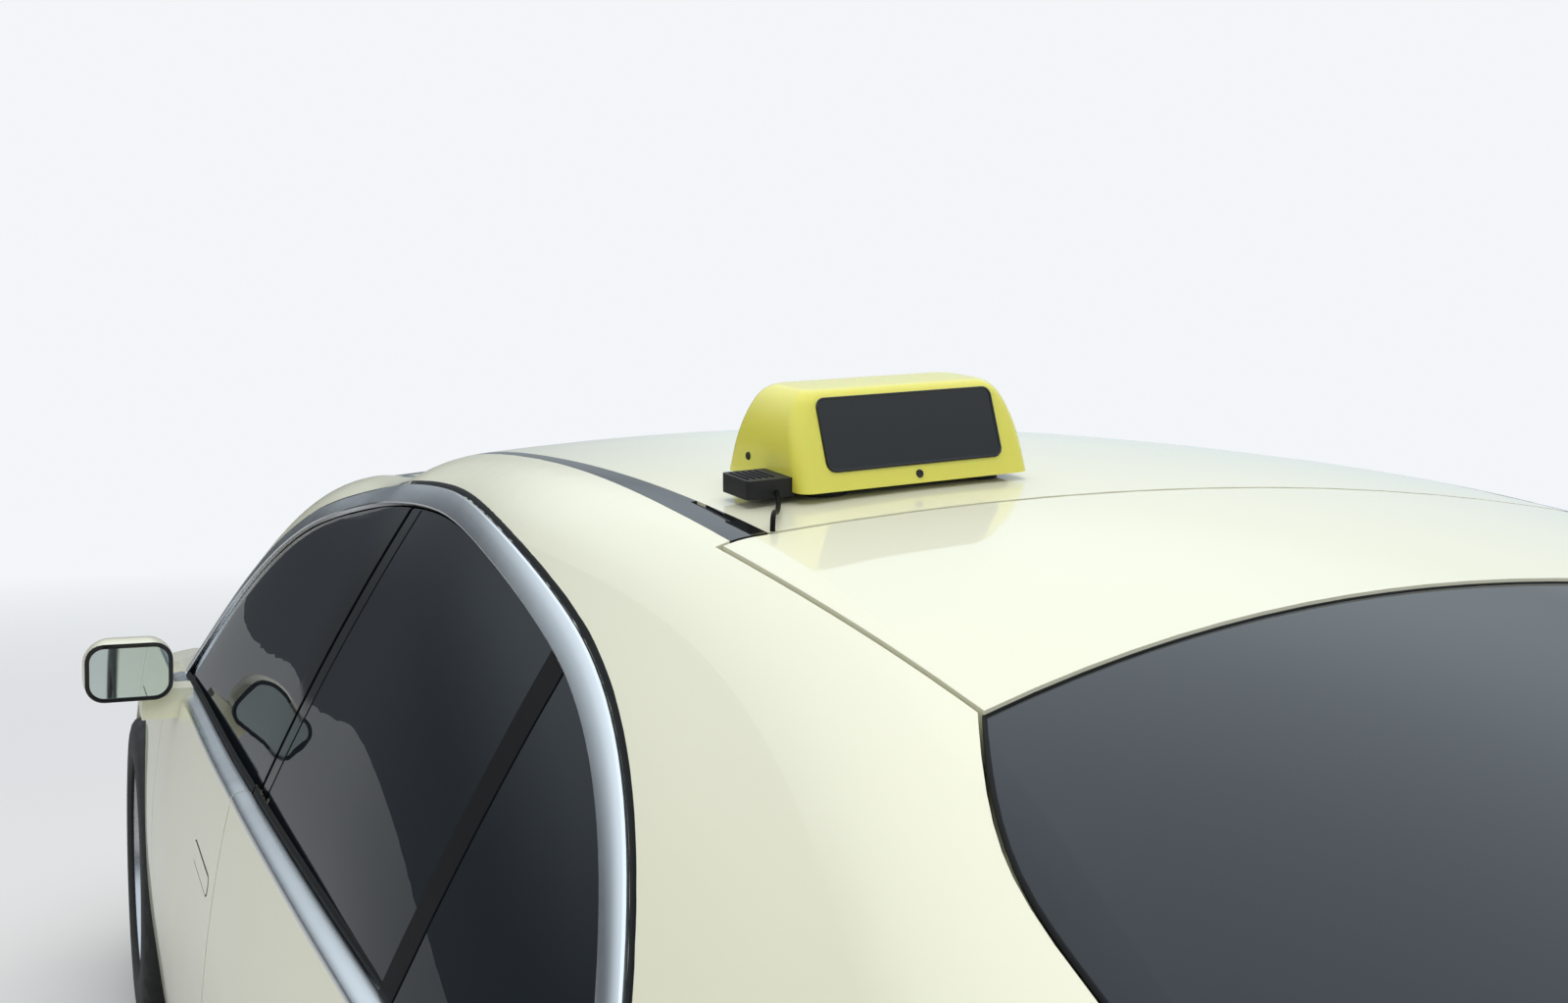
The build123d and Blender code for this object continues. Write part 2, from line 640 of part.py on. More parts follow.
def build_sign(outer):
    """Housing with its panels on a tray with four magnets and the cable's plug block.
    Returns where the cable starts and the room that the block takes from it."""
    plane = roof_plane(outer)
    tray_top = TRAY_LOW + TRAY_HEIGHT
    tray = Pos(0, 0, TRAY_LOW) * extrude(RectangleRounded(SIGN_DEPTH - 8, SIGN_WIDTH - 10, 26), TRAY_HEIGHT)
    magnets = [rod((x, y, -14), (x, y, TRAY_LOW), MAGNET_RADIUS)
               for x in (-40, 40) for y in (-94, 94)]
    half = SIGN_WIDTH / 2
    block = fillet(box(PLUG_X, (half + 2, half + PLUG_REACH), PLUG_Z).edges().filter_by(Axis.Z), 5)
    bridge = box((PLUG_X[0] + 10, PLUG_X[1] - 10), (half - 20, half + 6), (TRAY_LOW, tray_top))
    base = plane.location * (tray + [*magnets, block, bridge])
    save("sign_base", base - outer)
    panels = sign_panels(tray_top + SEAT_GAP)
    save("sign_housing", plane.location * (sign_housing(tray_top + SEAT_GAP) - panels))
    save("sign_panels", plane.location * Compound(panels))
    taken = box((PLUG_X[0] - SEAT_GAP, PLUG_X[1]), (half, half + PLUG_REACH), (TRAY_LOW - 9, PLUG_Z[1] + 9))
    return plane.from_local_coords((PLUG_X[0] - SEAT_GAP, half + 25, 9)), plane.location * taken


def smooth_path(points):
    """Straight runs joined by arcs as large as the runs allow. Prints runs and radii."""
    edges = []
    radii = []
    here = points[0]
    for a, b, c in zip(points, points[1:], points[2:]):
        turn = radians((b - a).get_angle(c - b))
        back = 0.45 * min((b - a).length, (c - b).length)
        radii.append(round(back / tan(turn / 2), 1))
        first = b - (b - a).normalized() * back
        last = b + (c - b).normalized() * back
        edges.append(Line(here, first))
        edges.append(TangentArc(first, last, tangent=tuple((b - a).normalized())))
        here = last
    edges.append(Line(here, points[-1]))
    print("cable runs", [round((b - a).length, 1) for a, b in zip(points, points[1:])], "radii", radii)
    return Wire(edges)


def build_cable(outer, start, taken):
    """The sign's lead arches over the roof and goes down the gap ahead of the tailgate."""
    points = [Vector(start)]
    for (x, y), lift in zip(CABLE_PLAN, CABLE_LIFT):
        over_roof = max(x, TAILGATE_FRONT_X + SHUT_GAP + 0.5)
        points.append(Vector(x, y, roof_height(outer, over_roof, y) + lift))
    path = smooth_path(points)
    circle = Plane(origin=path @ 0, z_dir=path % 0) * Circle(CABLE_RADIUS)
    save("sign_cable", sweep(circle, path=path) - taken)
    print("cable points", [(round(p.X, 1), round(p.Y, 1), round(p.Z, 1)) for p in points])


def build_glasshouse_top(top, glass_low, glass_in, screen):
    """Windscreen, roof and the trims over the ditches."""
    high = room(z=(900, 1800))
    pane = glass_low & (ditch_strip(SCREEN_BASE_X, SCREEN_TOP_X, -SEAT_GAP) & high)
    save("windscreen", pane - glass_in)
    roof = top & ditch_strip(SCREEN_TOP_X + SCREEN_LAP, TAILGATE_FRONT_X + SHUT_GAP, lambda x: -trim_half(x))
    save("roof_panel", roof - screen)
    trims = ditch_strip(SCREEN_TOP_X - SEAT_GAP, TAILGATE_FRONT_X + SHUT_GAP, lambda x: trim_half(x) - SEAT_GAP)
    trims = (top & (trims & high)) - ditch_strip(500, -1200, lambda x: SEAT_GAP - trim_half(x))
    slot_x, slot_y, slot_width, slot_depth = TRIM_SLOT
    slots = [room(slot_x, (y - slot_width / 2, y + slot_width / 2), (1300, 1800)) for y in (slot_y, -slot_y)]
    floor = upper_form(slot_depth, False)
    save("roof_ditch_trims", trims - [slot - floor for slot in slots])


def build_tailgate(shell, layers):
    """Tailgate with its flush glass and the middle of the light band."""
    glass_low, glass_in, rebate_in = layers
    high = room(z=(900, 1800))
    top_edge = arc_ahead(*REAR_GLASS_TOP)
    low_edge = arc_ahead(*REAR_GLASS_LOW)
    pane_room = (tail_strip(-1000, -2300, -SEAT_GAP) & low_edge) - top_edge
    hole = tail_strip(-1000, -2300, -SCREEN_LAP) & Pos(SCREEN_LAP, 0, 0) * low_edge
    hole = hole - Pos(-SCREEN_LAP, 0, 0) * top_edge
    rebate = tail_strip(-1000, -2300, 5) & Pos(-SEAT_GAP, 0, 0) * low_edge
    rebate = rebate - Pos(SEAT_GAP, 0, 0) * top_edge
    tailgate = shell & (tail_strip(TAILGATE_FRONT_X, -2690, 0) & room(z=(TAILGATE_LOW_Z, 1800)))
    tailgate = tailgate - [(rebate & high) - rebate_in, hole & high]
    lamp = (tailgate & room(x=(-2700, -2120), z=TAIL_LAMP_Z)) - lower_form(LAMP_DEPTH)
    save("tailgate_lamp", lamp)
    save("tailgate", tailgate - lamp)
    save("rear_window", (glass_low & (pane_room & high)) - glass_in)


def build_top(shell, layers):
    """Bonnet, screens, cowl, roof, trims and tailgate. Returns what the body sides leave free."""
    high = room(z=(900, 1800))
    top = shell & room(z=(700, 1800))
    bonnet_ahead = arc_ahead(BONNET_CORNER[0], BONNET_FRONT_X, BONNET_CORNER[1])
    save("bonnet", top & (ditch_strip(2700, BONNET_REAR_X, 0) - bonnet_ahead))
    bonnet_room = ditch_strip(2700, BONNET_REAR_X - SHUT_GAP, SHUT_GAP) - Pos(SHUT_GAP, 0, 0) * bonnet_ahead
    bonnet_room = bonnet_room & room(z=(700, 1800))
    tail_room = tail_strip(TAILGATE_FRONT_X + SHUT_GAP, -2690, SHUT_GAP)
    tail_room = tail_room & room(z=(TAILGATE_LOW_Z - SHUT_GAP, 1800))
    build_tailgate(shell, layers)

    screen = (ditch_strip(SCREEN_BASE_X + SEAT_GAP, SCREEN_TOP_X - SEAT_GAP, 0) & high) - layers[2]
    screen_hole = ditch_strip(SCREEN_BASE_X - SCREEN_LAP, SCREEN_TOP_X + SCREEN_LAP, -SCREEN_LAP) & high
    cowl_rear = SCREEN_BASE_X - SCREEN_LAP
    cowl = top & (ditch_strip(BONNET_REAR_X - SHUT_GAP, cowl_rear, -SEAT_GAP) & high)
    save("cowl", cowl - screen)
    build_glasshouse_top(top, layers[0], layers[1], screen)
    cuts = [
        bonnet_room, tail_room, screen, screen_hole,
        ditch_strip(BONNET_REAR_X, cowl_rear - 1, 0) & high,
        ditch_strip(SCREEN_TOP_X + SCREEN_LAP + 1, SCREEN_TOP_X, 0) & high,
        ditch_strip(SCREEN_TOP_X, TAILGATE_FRONT_X, trim_half) & high,
    ]
    return cuts, bonnet_room, tail_room


# Front and rear ends
FRONT_CUT_X = 2150       # front bumper to body side
REAR_CUT_X = -2160       # rear bumper to body side
REAR_CUT_Z = 800
FLOOR_HALF = 790
LAMP_DEPTH = 45
HEAD_LAMP_Z = (640, 745)
HEAD_LAMP_IN = 420       # inner end of a headlamp from the middle
TAIL_LAMP_Z = (905, 965)
GRILLE = (2 * HEAD_LAMP_IN - 12, (486, 739), 46)   # width, heights, corner radius
INTAKE = (1080, (236, 356), 44)
PLATE_RECESS = (560, (486, 624), 22)
DIFFUSER = (1180, (100, 318), 60)
TOW_FRONT_X = 2485       # inner end of the tow-eye hole
TOW_REAR_X = -2472.5
TOW_Y = 450
TOW_Z = 420
TOW_RADIUS = 9


def build_front(shell, outer, depths, bonnet_room, wells):
    """Front bumper with the headlamps, the closed grille panel and the lower intake."""
    lamp_in, panel_in, deep_in = depths
    lamps = room(x=(2185, 2600), z=HEAD_LAMP_Z) - room(y=(-HEAD_LAMP_IN, HEAD_LAMP_IN))
    headlamps = (outer & lamps) - lamp_in
    save("headlamps", headlamps)
    both_wells = [*wells, *[mirrored(well) for well in wells]]
    bumper = (shell & room(x=(FRONT_CUT_X, 3000))) - [bonnet_room, headlamps, *both_wells]
    grille = (bumper & lengthwise(*GRILLE)) - panel_in
    save("front_grille", grille)
    intake = lengthwise(*INTAKE) - deep_in
    save("lower_intake", (intake & panel_in))
    tow_hole = rod((TOW_FRONT_X, -TOW_Y, TOW_Z), (TOW_FRONT_X + 200, -TOW_Y, TOW_Z), TOW_RADIUS)
    save("front_bumper", bumper - [grille, intake, tow_hole])


def build_rear(shell, outer, depths, tail_room):
    """Rear bumper with plate recess and diffuser. Returns the outer tail lamps."""
    lamp_in, panel_in = depths[:2]
    tail_lamps = (outer & room(x=(-2700, -2120), z=TAIL_LAMP_Z)) - [lamp_in, tail_room]
    save("tail_lamps", tail_lamps)
    bumper = (shell & room(x=(-3000, REAR_CUT_X), z=(-100, REAR_CUT_Z))) - tail_room
    behind = (-3000, -2300)
    under = lengthwise(*DIFFUSER, behind)
    recess = lengthwise(*PLATE_RECESS, behind) - panel_in
    save("rear_diffuser", bumper & (under & panel_in))
    tow_hole = rod((TOW_REAR_X, TOW_Y, TOW_Z), (TOW_REAR_X - 200, TOW_Y, TOW_Z), TOW_RADIUS)
    save("rear_bumper", bumper - [under, recess, tow_hole])
    return tail_lamps


def door_openings(pillar_out):
    """What the doors take out of the left body side: their steps, rooms and glass slots."""
    tools = []
    below = room(z=(0, 1200))
    upper = above_line()
    for wire, span in ((front_door_wire(), (DOOR_SPLIT_X + PILLAR_INSET - 10, 3000)),
                       (rear_door_wire(), (-3000, DOOR_SPLIT_X - PILLAR_INSET + 10))):
        tools.append(across(grown(wire, SHUT_GAP), 600) - pillar_out)
        inner = across(grown(wire, 10 - DOOR_INSET), 600) & (below & room(x=span))
        tools.append(inner - upper)
        ends = (max(span[0], SLOT_REAR_X), min(span[1], SLOT_FRONT_X))
        tools.append(quad([(x, belt_z(x) + rise) for x, rise in (
            (ends[0], -30), (ends[1], -30), (ends[1], WINDOW_FLANGE + 5), (ends[0], WINDOW_FLANGE + 5))]))
    return tools


def build_side(shell, cuts, wells, tail_lamps, flange_out):
    """Body side with its door and window openings."""
    window = window_wire()
    upper = above_line()
    tools = [
        *cuts, *wells, tail_lamps, *door_openings(lower_form(PILLAR_DEPTH)),
        box((-3000, FRONT_CUT_X), (-10, FLOOR_HALF + SEAT_GAP), (-100, FLOOR_TOP_Z + 1)),
        box((FRONT_CUT_X - PANEL_GAP, 3000), (-10, 1300), (-100, 1800)),
        box((-3000, REAR_CUT_X + PANEL_GAP), (-10, 1300), (-100, REAR_CUT_Z + PANEL_GAP)),
        (across(window, 400) & upper) - flange_out,
    ]
    pillar = quad([(DOOR_SPLIT_X + 45, 900), (DOOR_SPLIT_X - 45, 900),
                   (DOOR_SPLIT_X - 45 - 90, 1550), (DOOR_SPLIT_X + 45 - 90, 1550)])
    tools.append((across(grown(window, -WINDOW_FLANGE), 400) & upper) - pillar)
    half = (shell & room(y=(0, 1300))) - tools
    half = half.solids().sort_by(SortBy.VOLUME)[-1]
    save("side_frame_left", half)
    save("side_frame_right", mirrored(half))


def glass_slot(span, gap, top):
    """Side-view prism where the door glass reaches below the window base line."""
    low = [belt_z(x) - GLASS_PLUNGE - gap for x in span]
    return quad([(span[0] - gap, top(span[0])), (span[1] + gap, top(span[1])),
                 (span[1] + gap, low[1]), (span[0] - gap, low[0])])


def build_doors(outer, layers, skin_in, wall_in):
    """The four doors and their glass, from one wall each side of the centre pillar."""
    glass_low, glass_in, rebate_in = layers
    upper = above_line()
    pane_room = across(grown(window_wire(), -WINDOW_GAP), 400) & upper
    slot_out = upper_form(GLASS_DEPTH - SEAT_GAP, False)
    below = room(z=(0, 1200))
    front, rear = DOOR_SPLIT_X + PILLAR_INSET, DOOR_SPLIT_X - PILLAR_INSET
    for name, wire, wall_span, hand, plunge_span in (
            ("f", front_door_wire(), (front, 3000), 1, (front + 8, SLOT_FRONT_X - 15)),
            ("r", rear_door_wire(), (-3000, rear), -1, (SLOT_REAR_X + 50, rear - 8))):
        block = (outer & across(wire, 600)) - upper
        wall = block & (across(grown(wire, -DOOR_INSET), 600) & (below & room(x=wall_span)) & skin_in)
        door = (block - skin_in) + (wall - wall_in)
        edge = DOOR_SPLIT_X + hand * 8
        top_edge = edge - 700 * PILLAR_LEAN
        beyond = quad([(edge, belt_z(edge)), (top_edge, belt_z(edge) + 700), (hand * 3000, 1700),
                       (hand * 3000, belt_z(hand * 3000) - 100)])
        plunge = glass_slot(plunge_span, 0, lambda x: belt_z(x) + 20)
        glass = (glass_low & ((pane_room & beyond) + plunge)) - glass_in
        slot = (slot_out & glass_slot(plunge_span, SEAT_GAP, lambda x: 1100)) - rebate_in
        door = door - slot
        for hand_name, turned in (("l", lambda shape: shape), ("r", mirrored)):
            save("door_" + name + hand_name, turned(door))
            save("glass_" + name + hand_name, turned(glass))


def build_chrome(outer):
    """Bright arch over the side windows."""
    window = window_wire()
    band = across(grown(window, CHROME_WIDTH), 400) - across(window, 400)
    band = band & above_line(SHUT_GAP + 1)
    left = (upper_form(-CHROME_PROUD, False) & band) - outer
    save("window_chrome", Compound([left, mirrored(left)]))


# Door mirrors. Columns of the shell: x, middle y, width, height, corner radius
MIRROR_X = 840
MIRROR_SHELL = (
    (-48, 1006, 150, 108, 34), (-10, 1006, 156, 114, 44), (40, 1002, 144, 104, 42), (76, 992, 96, 66, 28),
)
MIRROR_Z = 1024


def build_mirrors(outer):
    """Door mirrors on short stalks from the door shoulder."""
    foot = [(MIRROR_X - 35, 930), (MIRROR_X + 45, 930), (MIRROR_X + 40, 985), (MIRROR_X - 30, 985)]
    stalk = slab(foot, (895, 985))
    stalk = stalk - outer
    levels = []
    for x, y, width, height, radius in MIRROR_SHELL:
        plane = Plane(origin=(MIRROR_X + x, y, MIRROR_Z), z_dir=(1, 0, 0), x_dir=(0, 1, 0))
        levels.append((plane * RectangleRounded(width, height, radius)).face().outer_wire())
    mirror = stalk + Solid.make_loft(levels)
    save("mirror_left", mirror)
    save("mirror_right", mirrored(mirror))


def build_floor(shell, wells):
    """Floor with the traction battery in it, clear of the wheel wells and the subframe beams."""
    zone = room((REAR_CUT_X + SEAT_GAP, FRONT_CUT_X - SEAT_GAP), (-FLOOR_HALF, FLOOR_HALF), (-100, FLOOR_TOP_Z))
    reach = BEAM_HALF_X + 8
    beams = [room((x - reach, x + reach), (-half, half), (0, BEAM_TOP_Z + SEAT_GAP))
             for x, half in ((FRONT_AXLE_X, BEAM_HALF_Y + 9), (REAR_AXLE_X, REAR_LINER_Y + 1))]
    save("floor_pan", (shell & zone) - [*wells, *[mirrored(w) for w in wells], *beams])


def main():
    os.makedirs("parts", exist_ok=True)
    outer = upper_form() & lower_form()
    roof_under = upper_form(SKIN, False)
    wall_in = lower_form(DOOR_THICKNESS)
    skin_in = lower_form(DOOR_SKIN - 5)
    deep_in = lower_form(60)
    upper_cabin = roof_under & deep_in & room(z=(930, 1800))
    lower_cabin = roof_under & wall_in & room(z=(FLOOR_TOP_Z, 931))
    hollow = upper_cabin + lower_cabin
    shell = outer - hollow
    depths = (GLASS_DEPTH, GLASS_DEPTH + GLASS_THICKNESS, GLASS_DEPTH + GLASS_THICKNESS + SEAT_GAP)
    layers = [upper_form(depth, False) for depth in depths]
    wells = build_wells()
    cuts, bonnet_room, tail_room = build_top(shell, layers)
    end_depths = (lower_form(LAMP_DEPTH), skin_in, deep_in)
    build_front(shell, outer, end_depths, bonnet_room, wells)
    tail_lamps = build_rear(shell, outer, end_depths, tail_room)
    build_floor(shell, wells)
    build_side(shell, cuts, wells, tail_lamps, upper_form(FLANGE_DEPTH, False))
    build_doors(outer, layers, skin_in, wall_in)
    build_chrome(outer)
    build_mirrors(outer)
    build_cabin(hollow, wells, build_steering_wheel())
    build_wheels()
    build_chassis()
    build_cable(outer, *build_sign(outer))


if __name__ == "__main__":
    main()
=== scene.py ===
# %% [markdown]
# A large ivory taxi with a yellow sign on its roof.
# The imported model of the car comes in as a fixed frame, in metres: +X is forward, +Y is left, +Z is up.
# Everything below dresses that frame: it gives each part its finish and adds the trim that a solid
# model leaves out. Nothing here moves a part of the frame, so the doors still open where they should.

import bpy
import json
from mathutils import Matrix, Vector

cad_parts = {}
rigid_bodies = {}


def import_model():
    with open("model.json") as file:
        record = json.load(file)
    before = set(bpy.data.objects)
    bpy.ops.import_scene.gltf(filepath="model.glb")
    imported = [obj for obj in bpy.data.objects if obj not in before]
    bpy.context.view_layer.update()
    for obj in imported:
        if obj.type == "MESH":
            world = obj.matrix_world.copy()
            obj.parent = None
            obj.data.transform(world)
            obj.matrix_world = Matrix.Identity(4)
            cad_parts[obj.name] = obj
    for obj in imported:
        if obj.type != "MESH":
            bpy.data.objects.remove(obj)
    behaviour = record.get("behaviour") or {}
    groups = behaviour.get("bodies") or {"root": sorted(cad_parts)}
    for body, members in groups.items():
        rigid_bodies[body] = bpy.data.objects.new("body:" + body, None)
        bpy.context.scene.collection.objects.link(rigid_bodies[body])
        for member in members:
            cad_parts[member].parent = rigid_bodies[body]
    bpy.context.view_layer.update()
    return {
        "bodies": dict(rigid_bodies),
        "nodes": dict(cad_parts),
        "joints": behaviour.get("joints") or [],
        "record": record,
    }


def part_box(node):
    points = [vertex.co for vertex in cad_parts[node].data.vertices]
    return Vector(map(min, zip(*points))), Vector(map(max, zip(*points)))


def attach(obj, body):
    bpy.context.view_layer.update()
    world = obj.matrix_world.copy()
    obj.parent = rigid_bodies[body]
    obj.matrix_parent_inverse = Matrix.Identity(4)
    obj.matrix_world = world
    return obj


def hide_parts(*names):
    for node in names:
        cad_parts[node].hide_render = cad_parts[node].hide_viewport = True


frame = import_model()
nodes = frame["nodes"]

# %% The rest of the imports
import json
from math import atan2, cos, hypot, pi, radians, sin

import bmesh
import bpy
from mathutils import Matrix, Vector
from mathutils.bvhtree import BVHTree

# %% [markdown]
# The camera stands where the photographer stood: behind the left rear door, a little above the roof.
# A turn, a tilt and a slight lean of the camera give three directions, and those are the columns of
# its matrix. A camera looks along its own -Z, so the viewing direction goes in with its sign turned.

# %% Camera
CAMERA_PLACE = Vector((-2.240, 1.148, 1.565))
CAMERA_TURN, CAMERA_TILT, CAMERA_LEAN = radians(-26.86), radians(-4.13), radians(1.12)
SENSOR, LENS = 36.0, 34.8
PICTURE_SHIFT = -0.0138     # the picture is cut a little beside its middle
NEAREST = 0.02              # whatever is closer to the camera than this isn't shown


def add_object(name, data):
    thing = bpy.data.objects.new(name, data)
    bpy.context.scene.collection.objects.link(thing)
    return thing


def add_camera():
    flat = cos(CAMERA_TILT)
    ahead = Vector((cos(CAMERA_TURN) * flat, sin(CAMERA_TURN) * flat, sin(CAMERA_TILT)))
    right = Vector((sin(CAMERA_TURN), -cos(CAMERA_TURN), 0))
    up = right.cross(ahead)
    leaned_right = right * cos(CAMERA_LEAN) + up * sin(CAMERA_LEAN)
    leaned_up = up * cos(CAMERA_LEAN) - right * sin(CAMERA_LEAN)
    turn = Matrix((leaned_right, leaned_up, -ahead)).transposed()
    data = bpy.data.cameras.new("camera")
    data.sensor_width, data.lens = SENSOR, LENS
    data.shift_x, data.clip_start = PICTURE_SHIFT, NEAREST
    camera = add_object("camera", data)
    camera.matrix_world = Matrix.Translation(CAMERA_PLACE) @ turn.to_4x4()
    bpy.context.scene.camera = camera


add_camera()
print("camera at", tuple(round(v, 3) for v in CAMERA_PLACE))

# %% [markdown]
# A finish is a Principled shader and a few nodes that break up its evenness. Each finish below comes
# from one helper. It sets plain numbers on the shader's sockets, lets the roughness wander with a noise
# and adds a grain or a ripple as bump.


def set_inputs(node, values):
    for socket, value in values.items():
        node.inputs[socket.replace("_", " ")].default_value = value
    return node


def add_node(tree, kind, **values):
    """A shader node with plain values on some of its inputs."""
    return set_inputs(tree.nodes.new("ShaderNode" + kind), values)


def object_noise(tree, scale, detail=3.0):
    """Noise that stays with the object, because it reads the object's own coordinates."""
    noise = add_node(tree, "TexNoise", Scale=scale, Detail=detail, Roughness=0.5)
    tree.links.new(add_node(tree, "TexCoord").outputs["Object"], noise.inputs["Vector"])
    return noise.outputs["Fac"]


def new_finish(name, slot, colour, wander=None, grain=None, **values):
    """wander is a noise's scale and the roughness at its ends, grain a scale, a strength and a depth."""
    material = bpy.data.materials.new(name)
    material.use_nodes = True
    tree = material.node_tree
    shader = set_inputs(tree.nodes["Principled BSDF"], {"Base_Color": (*colour, 1), **values})
    if wander:
        scale, low, high = wander
        spread = add_node(tree, "MapRange", To_Min=low, To_Max=high)
        tree.links.new(object_noise(tree, scale), spread.inputs["Value"])
        tree.links.new(spread.outputs["Result"], shader.inputs["Roughness"])
    if grain:
        scale, strength, depth, *detail = grain
        bump = add_node(tree, "Bump", Strength=strength, Distance=depth)
        tree.links.new(object_noise(tree, scale, *detail), bump.inputs["Height"])
        tree.links.new(bump.outputs["Normal"], shader.inputs["Normal"])
    return material

# %% [markdown]
# Car paint is a coloured coat under a clear one. The colour coat is satin, the clear coat is a mirror,
# and a faint ripple in it, which painters call orange peel, keeps the reflections from looking drawn.

# %% Paint
IVORY = (0.735, 0.735, 0.565)
ORANGE_PEEL = (260, 0.02, 0.0004, 1.0)
CLOUDS = ((0.35, 0.985), (0.65, 1))     # places on a wide noise, and how bright the paint is there


def ivory_paint():
    material = new_finish("ivory_paint", "ivory_paint", IVORY, grain=ORANGE_PEEL,
                          Roughness=0.42, Coat_Weight=0.8, Coat_Roughness=0.04)
    tree = material.node_tree
    ramp = add_node(tree, "ValToRGB")
    for element, (place, share) in zip(ramp.color_ramp.elements, CLOUDS):
        element.position = place
        element.color = (*(c * share for c in IVORY), 1)
    tree.links.new(object_noise(tree, 1.4), ramp.inputs["Fac"])
    tree.links.new(ramp.outputs["Color"], tree.nodes["Principled BSDF"].inputs["Base Color"])
    return material


paint = ivory_paint()
print("paint mixed")

# %% [markdown]
# Metals differ by colour and by how evenly they are polished. Moulded plastics and rubbers share one
# recipe, a dark colour, a roughness that wanders a little, and a fine grain as bump.

# %% Metals and blacks


def cast_metal(name, slot, colour, low, high):
    return new_finish(name, slot, colour, (90, low, high), (400, 0.1, 0.0004), Metallic=1.0)


def moulded(name, slot, colour, low, high, grain=0.25, scale=900, shine=0.5):
    return new_finish(name, slot, colour, (60, low, high), (scale, grain, 0.0003), Specular_IOR_Level=shine)


chrome = new_finish("bright_chrome", "bright_trim", (0.90, 0.92, 0.94), (40, 0.18, 0.26), Metallic=1.0)
alloy = cast_metal("wheel_alloy", "wheel_metal", (0.55, 0.56, 0.58), 0.22, 0.34)
disc_steel = cast_metal("disc_steel", "wheel_metal", (0.4, 0.4, 0.41), 0.3, 0.4)
steel = cast_metal("chassis_steel", "chassis_metal", (0.09, 0.09, 0.095), 0.45, 0.6)
motor_alloy = cast_metal("motor_alloy", "motor_metal", (0.4, 0.4, 0.42), 0.4, 0.55)
gloss_black = moulded("gloss_black", "black_gloss", (0.006, 0.006, 0.007), 0.04, 0.08, 0.0)
grained_black = moulded("grained_black", "black_plastic", (0.014, 0.014, 0.015), 0.5, 0.62, shine=0.35)
seal_rubber = moulded("seal_rubber", "black_plastic", (0.006, 0.006, 0.006), 0.4, 0.5, 0.1, shine=0.08)
rubber = moulded("tyre_rubber", "tyre_rubber", (0.014, 0.014, 0.014), 0.62, 0.78)
leather = moulded("seat_leather", "seat_cover", (0.02, 0.02, 0.021), 0.42, 0.55, 0.35, 500)
carpet = moulded("cabin_carpet", "carpet", (0.03, 0.03, 0.032), 0.85, 0.95, 0.6, 1500)
plate_white = moulded("plate_white", "lamp_glass", (0.78, 0.78, 0.76), 0.3, 0.38, 0.05)

# %% [markdown]
# Glass is a clear body that lets light through, tinted by its own colour. The privacy glass of the
# rear half is nearly black in transmission, so it mostly shows what it reflects.

# %% Glass and lamps


def window_glass(name, slot, colour, clear):
    return new_finish(name, slot, colour, (12, 0.0, 0.015), Transmission_Weight=clear, IOR=1.45)


tinted_glass = window_glass("tinted_glass", "tinted_glass", (0.010, 0.014, 0.020), 0.30)
screen_glass = window_glass("screen_glass", "tinted_glass", (0.5, 0.55, 0.55), 1.0)
lamp_glass = window_glass("lamp_glass", "lamp_glass", (0.9, 0.92, 0.95), 1.0)
tail_red = moulded("tail_red", "red_lens", (0.35, 0.004, 0.006), 0.05, 0.1, 0.0)
tail_bright = moulded("tail_bright", "red_lens", (0.75, 0.02, 0.02), 0.15, 0.2, 0.0)
mirror_face = new_finish("mirror_face", "bright_trim", (0.75, 0.85, 0.82), Metallic=1.0, Roughness=0.02)
lamp_white = new_finish("lamp_white", "lamp_glass", (0.85, 0.87, 0.9), Roughness=0.25)

# %% [markdown]
# The sign's housing is a thin yellow plastic shell that is made to glow from inside. Unlit, a little
# light still wanders through it, so it gets a small amount of subsurface scatter.

# %% Sign plastic
sign_yellow = new_finish("sign_yellow", "sign_yellow", (0.70, 0.665, 0.085), (30, 0.2, 0.28),
                         Subsurface_Weight=0.25, Subsurface_Scale=0.004, Coat_Weight=0.5, Coat_Roughness=0.1)

# %% [markdown]
# Every node of the frame gets one of the finishes. The start of its name says what it is, and the
# longest start that fits wins.

# %% Finish of every node
FINISHES = {
    "bonnet": paint, "roof_panel": paint, "tailgate": paint, "side_frame": paint, "door_": paint,
    "front_bumper": paint, "rear_bumper": paint, "cowl": grained_black, "roof_ditch_trims": gloss_black,
    "windscreen": screen_glass, "rear_window": tinted_glass, "glass_": tinted_glass,
    "headlamps": lamp_glass, "tail_lamps": tail_red, "tailgate_lamp": tail_red,
    "front_grille": gloss_black, "lower_intake": grained_black, "rear_diffuser": grained_black,
    "window_chrome": chrome, "mirror_": paint, "tyre_": rubber, "rim_": alloy,
    "subframe": steel, "knuckle": steel, "drive_unit": motor_alloy, "floor_pan": grained_black,
    "wheel_liner": grained_black, "front_seats": leather, "rear_bench": leather, "dashboard": grained_black,
    "steering_wheel": leather, "firewall": grained_black, "luggage_floor": carpet, "parcel_shelf": carpet,
    "sign_base": grained_black, "sign_housing": sign_yellow, "sign_panels": gloss_black,
    "sign_cable": seal_rubber,
}


def finish_nodes():
    left_over = []
    for name, node in nodes.items():
        starts = [start for start in FINISHES if name.startswith(start)]
        if not starts:
            left_over.append(name)
            continue
        node.data.materials.clear()
        node.data.materials.append(FINISHES[max(starts, key=len)])
    return left_over


print("nodes without a finish:", finish_nodes())

# %% [markdown]
# Pieces are made as a bmesh and end as an object at the origin that rides on a body of the frame. Two
# helpers find where a ray meets the frame, so that trim can be laid on a panel. One carries a small
# outline along a row of places, which is how mouldings and seals are made on real cars, by pulling
# rubber or metal through a die. The rest make sheets, blocks, cones and turned parts.

# %% Helpers for pieces
LEFT, RIGHT = 1, -1
HANDS = ((LEFT, "left", "l"), (RIGHT, "right", "r"))
DOWN = Vector((0, 0, -1))


